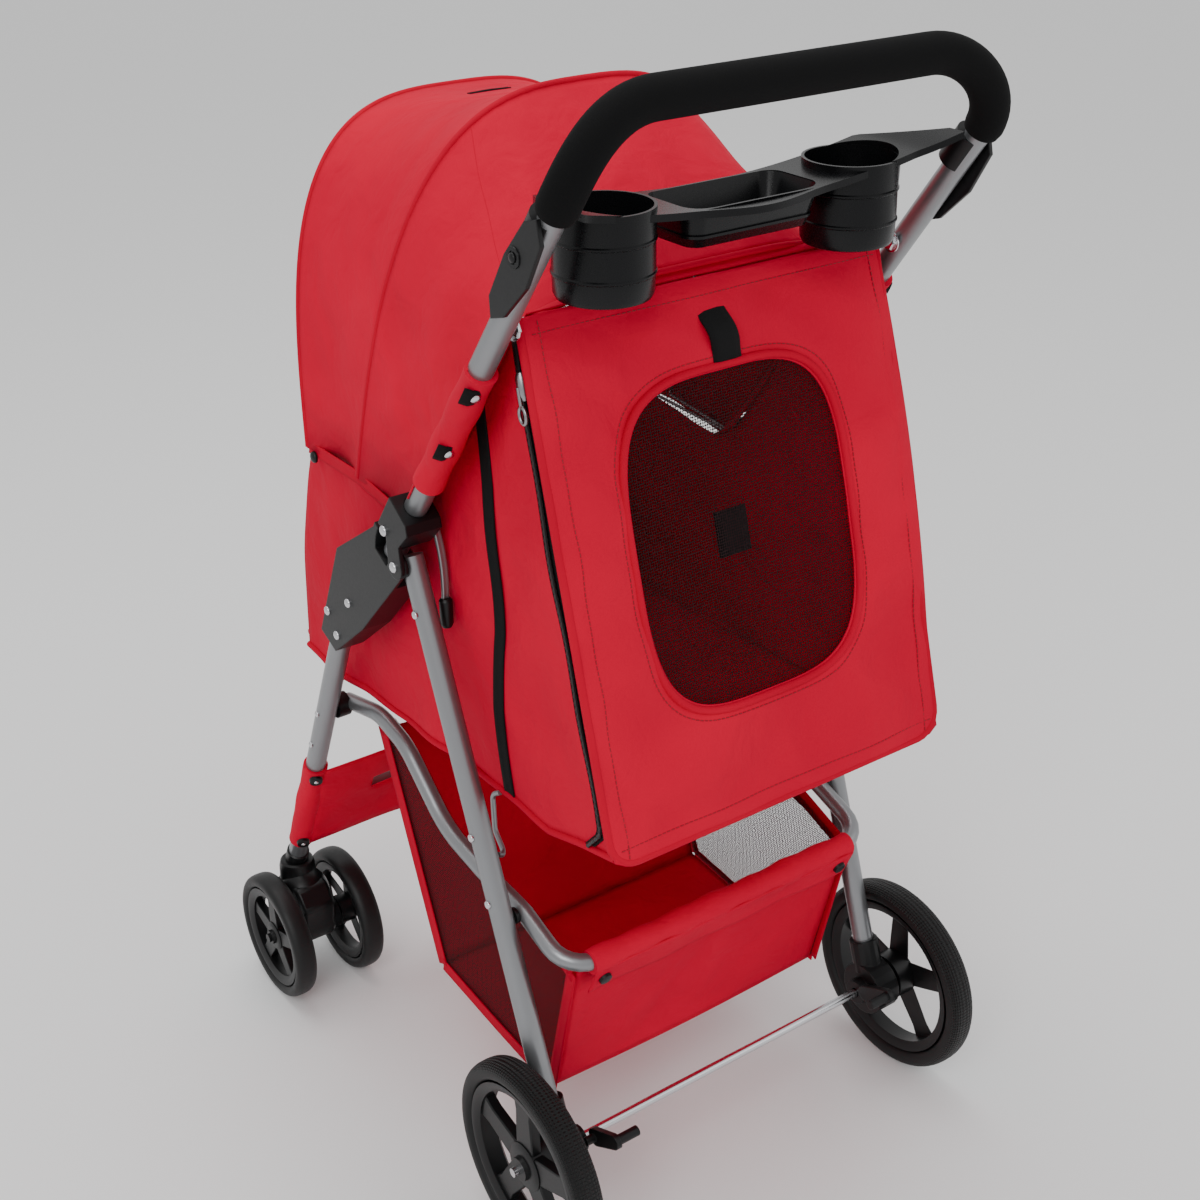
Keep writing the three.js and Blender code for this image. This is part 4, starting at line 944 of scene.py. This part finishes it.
angle = np.linspace(0, 2 * math.pi, 161)[:-1]
hole_x, hole_d = window_edge(angle)
reach = door_edge(angle)
outer_x, outer_d = reach * np.cos(angle), window_centre + reach * np.sin(angle)
share = np.linspace(0, 1, 30)[None, :]
dx = hole_x[:, None] * (1 - share) + outer_x[:, None] * share
dd = hole_d[:, None] * (1 - share) + outer_d[:, None] * share
relief = door_relief(dx, dd)
dx = dx - 0.009 * np.sin(np.pi * np.clip(dd / 0.36, 0, 1)) * share ** 2 * (dx < -0.1)
door = surface("look_rear_door", on_door(dx, dd, relief), red, "rear_door", wrap_i=True,
               flip=True)
thicken(door, 0.0016, 0)
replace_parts(door, "rear_door")


def stitches(name, line, pitch, material, body):
    """A row of short threads along a line of points."""
    line = bent(line, max(int(np.linalg.norm(np.diff(line, axis=0), axis=1).sum() / pitch), 4))
    vertices, faces = [], []
    for a, b in zip(line, line[1:]):
        ring = rings([a + (b - a) * 0.12, a + (b - a) * 0.82], 0.00042, 6).reshape(-1, 3)
        at = len(vertices)
        vertices += ring.tolist()
        faces += [[at + k, at + (k + 1) % 6, at + 6 + (k + 1) % 6, at + 6 + k] for k in range(6)]
        faces += [[at + k for k in range(6)][::-1], [at + 6 + k for k in range(6)]]
    return build(name, vertices, faces, material, body)


thread = principled("red_thread", (0.20, 0.002, 0.006), 0.6)
bind_x, bind_d = window_edge(angle, 0.004)
welt = on_door(np.r_[bind_x, bind_x[:1]], np.r_[bind_d, bind_d[:1]], 0.0012)
bound = tube("window_binding", welt, 0.0034, binding, "rear_door", sides=12)
stitch_x, stitch_d = (np.r_[line, line[:1]] for line in window_edge(angle, 0.011))
stitches("window_stitches", on_door(stitch_x, stitch_d, door_relief(stitch_x, stitch_d) + 0.0009),
         0.0042, thread, "rear_door")
hem = 0.013
rows = [((-0.166 + hem, 0.004), (-0.166 + hem, 0.407)), ((0.166 - hem, 0.004),
                                                         (0.166 - hem, 0.407)),
        ((-0.160, hem), (0.160, hem)), ((-0.160, 0.411 - hem), (0.160, 0.411 - hem))]
for number, (a, b) in enumerate(rows):
    row = bent([a, b], 60)
    if number == 0:
        row[:, 0] -= 0.009 * np.sin(np.pi * np.clip(row[:, 1] / 0.36, 0, 1)) * 0.8
    stitches(f"door_stitches_{number}",
             on_door(row[:, 0], row[:, 1], door_relief(row[:, 0], row[:, 1]) + 0.0009), 0.0042,
             thread, "rear_door")
corners = np.array([(0.166, 0.0), (0.167, 0.411), (-0.167, 0.411), (-0.166, 0.0)])
edge = rounded([(x, d, 0) for x, d in corners], [0.022, 0.022])
hem_line = on_door(edge[:, 0], edge[:, 1], -0.001)
tube("door_hem", hem_line, 0.0034, binding, "rear_door", sides=12)
fill = np.linspace(1e-3, 1, 16)[None, :]
window_x, window_d = window_edge(angle, 0.003)
net_x = window_x[:, None] * fill
net_d = window_centre + (window_d - window_centre)[:, None] * fill
slack = -0.002 - 0.004 * (1 - fill ** 2) + 0 * net_x
window_net = net_material("window_net", (0.014, 0.002, 0.003), 0.42, 0.0021, "X", "Z")
window = surface("look_rear_window", on_door(net_x, net_d, slack), window_net, "rear_door",
                 wrap_i=True, flip=True)
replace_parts(window, "rear_window")
down = np.linspace(0.016, 0.064, 20)
curl = 0.0025 + 0.007 * np.sin((down - 0.016) / 0.048 * math.pi) ** 2
strap_x = 0.002 + 0.006 * np.cos((down - 0.016) / 0.048 * 3)
ribbon("door_strap", on_door(strap_x, down, curl), 0.026, (1, 0, 0), webbing, "rear_door",
       thickness=0.0018)
patch_down = np.linspace(0.176, 0.212, 8)
ribbon("door_patch", on_door(np.full(8, 0.004), patch_down, -0.012), 0.030, (1, 0, 0), webbing,
       "rear_door")

# ------------------------------------------------------------------ zip slider
# Dull metal slider with a ring pull, at the top of the left zip.

zinc = principled("zinc", (0.30, 0.30, 0.31), 0.3, 1.0)
slider_at = on_door(0.1645, 0.048, -0.0125)
body_line = [slider_at + door_down * k for k in (-0.010, -0.006, 0.006, 0.010)]
slider = tube("look_zip_slider", body_line, [0.003, 0.0045, 0.0045, 0.003], zinc, "zip", sides=20)
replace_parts(slider, "zip_slider")
ring_angle = np.linspace(0, 2 * math.pi, 33)
ring_at = slider_at + door_down * 0.020 + np.array([0.004, 0, 0])
pull = (ring_at + np.cos(ring_angle)[:, None] * 0.0042 * door_out
        + np.sin(ring_angle)[:, None] * 0.0062 * door_down)
tube("zip_pull_ring", pull, 0.0015, zinc, "zip", sides=12)
tube("zip_pull_arm", [slider_at + np.array([0.004, 0, 0]), ring_at - door_down * 0.006], 0.0016,
     zinc, "zip", sides=12)
for piece in list(bpy.data.objects):
    if piece.get("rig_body") in ("rear_door", "zip") and not piece.get("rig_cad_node"):
        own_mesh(piece)

# ------------------------------------------------------------------ canopy
# Red polyester stretched over two springy bows and the handle's arms, in two sections with a
# piped seam on each bow. Black net closes the front. Its hem snaps to the cabin.


def arch(foot, crest, half_x, square, count=49, lift=0.0):
    """Squarish arch: x = half cos^(2/q), height share = sin^(2/q) from foot to crest."""
    a = np.linspace(0, math.pi, count)
    c, s = np.cos(a), np.sin(a)
    share = np.abs(s) ** (2 / square)
    return np.stack([(half_x + lift) * np.sign(c) * np.abs(c) ** (2 / square),
                     foot[0] + (crest[0] - foot[0]) * share,
                     foot[1] + (crest[1] + lift - foot[1]) * share], -1)


def canopy_skin(a, b, rows, sag, folds):
    """Rows between two arches that hang a little between them, with folds at the sides."""
    t = np.linspace(0, 1, rows)[None, :, None]
    grid = a[:, None] * (1 - t) + b[:, None] * t
    over = np.sin(np.linspace(0, math.pi, len(a)))[:, None]
    dip = 4 * sag * t[..., 0] * (1 - t[..., 0])
    grid[..., 2] -= dip * over
    y, z = grid[..., 1], grid[..., 2]
    ripple = np.sin(y * 43 + z * 20) + 0.7 * np.sin(z * 49 - y * 70 + 1)
    inward = folds * (0.5 + 0.5 * ripple) * np.sin(np.pi * t[..., 0]) * (1 - over * 0.6)
    grid[..., 0] -= np.sign(grid[..., 0]) * (dip * 0.4 * (1 - over) + inward)
    return grid


front_foot, front_crest = (-0.186, 0.598), (-0.190, 0.888)
middle_foot, middle_crest = (-0.095, 0.600), (0.0, 0.921)
rear_foot_arch, rear_crest = (-0.018, 0.588), (0.150, 0.812)
front_arch = arch(front_foot, front_crest, 0.167, 3.2)
middle_arch = arch(middle_foot, middle_crest, 0.167, 3.0)
rear_line = arch(rear_foot_arch, rear_crest, 0.167, 5.0)
first = surface("look_canopy_front", canopy_skin(front_arch, middle_arch, 22, 0.009, 0.0035),
                red, None)
rear_grid = canopy_skin(middle_arch, rear_line, 24, 0.004, 0.004)
second = surface("look_canopy_rear", rear_grid, red, None)
for skin, node, flat in ((first, "canopy_front_section", (0.85, 0.17)),
                         (second, "canopy_rear_section", (0.80, 0.17))):
    thicken(skin, 0.0015)
    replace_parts(skin, node)
for side, start in (("left", 17), ("right", 31)):
    column = start + (-5 if side == "left" else 5) * np.linspace(0, 1, 24)
    low = np.floor(column).astype(int)
    part = (column - low)[:, None]
    row = np.arange(24)
    seam = rear_grid[low, row] * (1 - part) + rear_grid[low + 1, row] * part
    seam_roll = tube(f"canopy_seam_{side}", seam + np.array([0, 0, 0.0004]), 0.0014, binding,
                     None, sides=8)
    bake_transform(seam_roll)
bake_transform(first)
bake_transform(second)
for name, line, body in (("front", arch(front_foot, front_crest, 0.167, 3.2, 97), "canopy_front"),
                         ("middle", arch(middle_foot, middle_crest, 0.167, 3.0, 97),
                          "canopy_middle"),
                         ("rear", arch(rear_foot_arch, rear_crest, 0.167, 5.0, 97), "handle")):
    piping = tube(f"canopy_piping_{name}", line + np.array([0, 0, 0.0012]), 0.0026, binding,
                  body, sides=12)
for name, foot, crest, half_x, square, body in (
        ("front", front_foot, front_crest, 0.1592, 3.2, "canopy_front"),
        ("middle", middle_foot, middle_crest, 0.1632, 3.0, "canopy_middle")):
    line = arch(foot, (crest[0], crest[1] - 0.0075), half_x, square, 61)
    pin = [(half_x * s, -0.013, 0.592) for s in (1, -1)]
    bow = tube(f"look_canopy_{name}_bow", np.vstack([[pin[0]], line, [pin[1]]]), 0.0015, silver,
               body, sides=12)
    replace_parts(bow, f"canopy_{name}_bow")
frame_line = arch((-0.196, 0.604), (-0.200, 0.872), 0.152, 3.2, 49)
sill = frame_line * np.array([1, 0, 0]) + np.array([0, -0.203, 0.604])
t = np.linspace(0, 1, 20)[None, :, None]
panel_grid = sill[:, None] * (1 - t) + frame_line[:, None] * t
height = (frame_line[:, 2] - 0.604)[:, None] / 0.268
panel_grid[..., 1] -= 0.014 * np.sin(np.pi * t[..., 0]) * height
panel = surface("look_canopy_front_panel", panel_grid, window_net, "canopy_front", flip=True)
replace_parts(panel, "canopy_front_panel")
border = np.vstack([frame_line, bent([frame_line[-1], (0, -0.204, 0.604), frame_line[0]], 20)])
around_bow = arch((-0.187, 0.599), (-0.191, 0.8872), 0.1664, 3.2, 49)
rim_cloth = surface("canopy_front_frame", lofted(around_bow, frame_line, 49, 6, 0.001), red,
                    "canopy_front")
thicken(rim_cloth, 0.0014, 0)
tube("canopy_front_binding", border, 0.0028, binding, "canopy_front", sides=12)
flap_x = np.linspace(-0.155, 0.155, 40)
flap_top = np.stack([flap_x, -0.197 - 0.014 * np.cos(flap_x * 10), np.full(40, 0.607)], -1)
flap_foot = np.stack([flap_x, np.full(40, -0.197), np.full(40, 0.592)], -1)
thicken(surface("canopy_front_flap", lofted(flap_top, flap_foot, 40, 6, 0.0), red,
                "canopy_front"), 0.0014, 0)
top_slot = [(-0.020, -0.134, 0.8918), (0.0, -0.134, 0.8924), (0.020, -0.134, 0.8918)]
ribbon("canopy_slot", bent(top_slot, 12), 0.005, (0, 1, 0.12), webbing, "canopy_front")
for side, sign in SIDES:
    arch_side = np.array([(0.1655 * sign, -0.018 + 0.168 * k, 0.588 + 0.224 * k)
                          for k in np.linspace(0.08, 0.93, 30)])
    arm_side = np.array([handle_arm(k, -0.002, 0.1985 * sign)
                         for k in np.linspace(0.085, 0.246, 30)])
    wing = surface(f"canopy_wing_{side}", lofted(arm_side, arch_side, 30, 12, 0.003 * sign,
                                                 0.0012), red, "handle")
    thicken(wing, 0.0015, 0)
    wall_top = [(0.1572 * sign, -0.024, 0.583), (0.1572 * sign, 0.004, 0.600),
                (0.1572 * sign, 0.146, 0.798)]
    arch_edge = [(0.1668 * sign, -0.018, 0.590), (0.1668 * sign, 0.010, 0.625),
                 (0.1640 * sign, 0.146, 0.806)]
    thicken(surface(f"canopy_gusset_{side}", lofted(wall_top, arch_edge, 30, 5, 0.0), red,
                    "handle"), 0.0012, 0)
roof_x = np.linspace(-0.158, 0.158, 40)
roof_front = np.stack([roof_x, np.full(40, 0.1485), 0.8105 - 0.012 * (roof_x / 0.16) ** 8], -1)
roof_rear = np.stack([roof_x, np.full(40, 0.1552), np.full(40, 0.8068)], -1)
thicken(surface("canopy_ledge", lofted(roof_front, roof_rear, 40, 6, 0.0008), red, "handle"),
        0.0012, 0)
for side, sign in SIDES:
    sleeve_u = np.linspace(0.108, 0.246, 20)
    body_line = [handle_arm(k, 0.001, 0.188 * sign) for k in sleeve_u]
    cover = tube(f"arm_sleeve_{side}", body_line, 0.0122 + 0.0006 * np.sin(sleeve_u * 130), red,
                 "handle")
    for number, k in enumerate((0.163, 0.231)):
        normal = np.array([0.45 * sign, 0.72, -0.53])
        centre = handle_arm(k, 0.0, 0.188 * sign) + 0.0118 * normal
        tab = [centre + (normal * 0.0004) + off * np.array([1, 0, 0])
               for off in (-0.011, -0.004, 0.004, 0.011)]
        tab = [p - normal * (0.0045 * (abs(off) > 0.005)) for p, off in
               zip(tab, (-0.011, -0.004, 0.004, 0.011))]
        ribbon(f"arm_tab_{side}_{number}", bent(tab, 12), 0.016, (0, 0.59, 0.807), webbing,
               "handle", thickness=0.002)
        domed(f"arm_snap_{side}_{number}", centre + normal * 0.001, normal, 0.0042, bright,
              "handle")
    snap = np.array([0.1672 * sign, -0.174, 0.593])
    domed(f"hem_snap_{side}", snap, (sign, 0, 0), 0.0052, black, "canopy_front")
    hem_line = [(0.1665 * sign, -0.186, 0.599), (0.1665 * sign, -0.095, 0.600),
                (0.1665 * sign, -0.018, 0.589)]
    low = ribbon(f"canopy_hem_{side}", bent(hem_line, 30), 0.012, (0, 0, 1), binding,
                 "canopy_middle")

# ------------------------------------------------------------------ wire loop
# A thin silver loop under the cabin, riveted to each rear leg.

for side, sign in SIDES:
    x = 0.1625 * sign
    loop = rounded([(x * 1.06, 0.112, 0.338), (x, 0.108, 0.330), (x * 0.99, 0.090, 0.345),
                    (x * 0.98, 0.086, 0.378), (x * 0.98, 0.098, 0.386)], [0.008, 0.01, 0.008])
    tube(f"cabin_wire_{side}", loop, 0.0022, silver, "rear_legs", sides=14)

# ------------------------------------------------------------------ floor, light and camera
# A plain pale studio floor, three large soft lights and the view from behind and above.

ground = build("studio_floor", [(-8, -8, 0), (8, -8, 0), (8, 8, 0), (-8, 8, 0)], [(0, 1, 2, 3)],
               principled("studio_white", (0.86, 0.86, 0.86), 0.6), None)
world = bpy.data.worlds.new("studio")
bpy.context.scene.world = world
world.use_nodes = True
world.node_tree.nodes["Background"].inputs["Color"].default_value = (1, 1, 1, 1)
world.node_tree.nodes["Background"].inputs["Strength"].default_value = 0.85


def area_light(name, place, target, size, power):
    data = bpy.data.lights.new(name, "AREA")
    data.shape = "DISK"
    data.size = size
    data.energy = power
    light = bpy.data.objects.new(name, data)
    bpy.context.scene.collection.objects.link(light)
    light.location = place
    way = Vector(target) - Vector(place)
    light.rotation_euler = way.to_track_quat("-Z", "Y").to_euler()
    return light


area_light("key", (1.9, 1.6, 2.3), (0, 0, 0.5), 1.6, 30)
area_light("fill", (-2.0, 1.8, 1.5), (0, 0, 0.5), 2.4, 10)
area_light("top", (0.1, -0.6, 2.9), (0, 0, 0.5), 2.0, 26)

camera_data = bpy.data.cameras.new("camera")
camera_data.sensor_width = 36
camera_data.lens = 52.96
camera = bpy.data.objects.new("camera", camera_data)
bpy.context.scene.collection.objects.link(camera)
camera.location = (0.794, 1.130, 1.187)
look = Vector((0.0037, 0.0226, 0.4838)) - camera.location
camera.rotation_euler = (look.to_track_quat("-Z", "Y").to_matrix().to_4x4()
                         @ Matrix.Rotation(math.radians(-0.5), 4, "Z")).to_euler()
bpy.context.scene.camera = camera
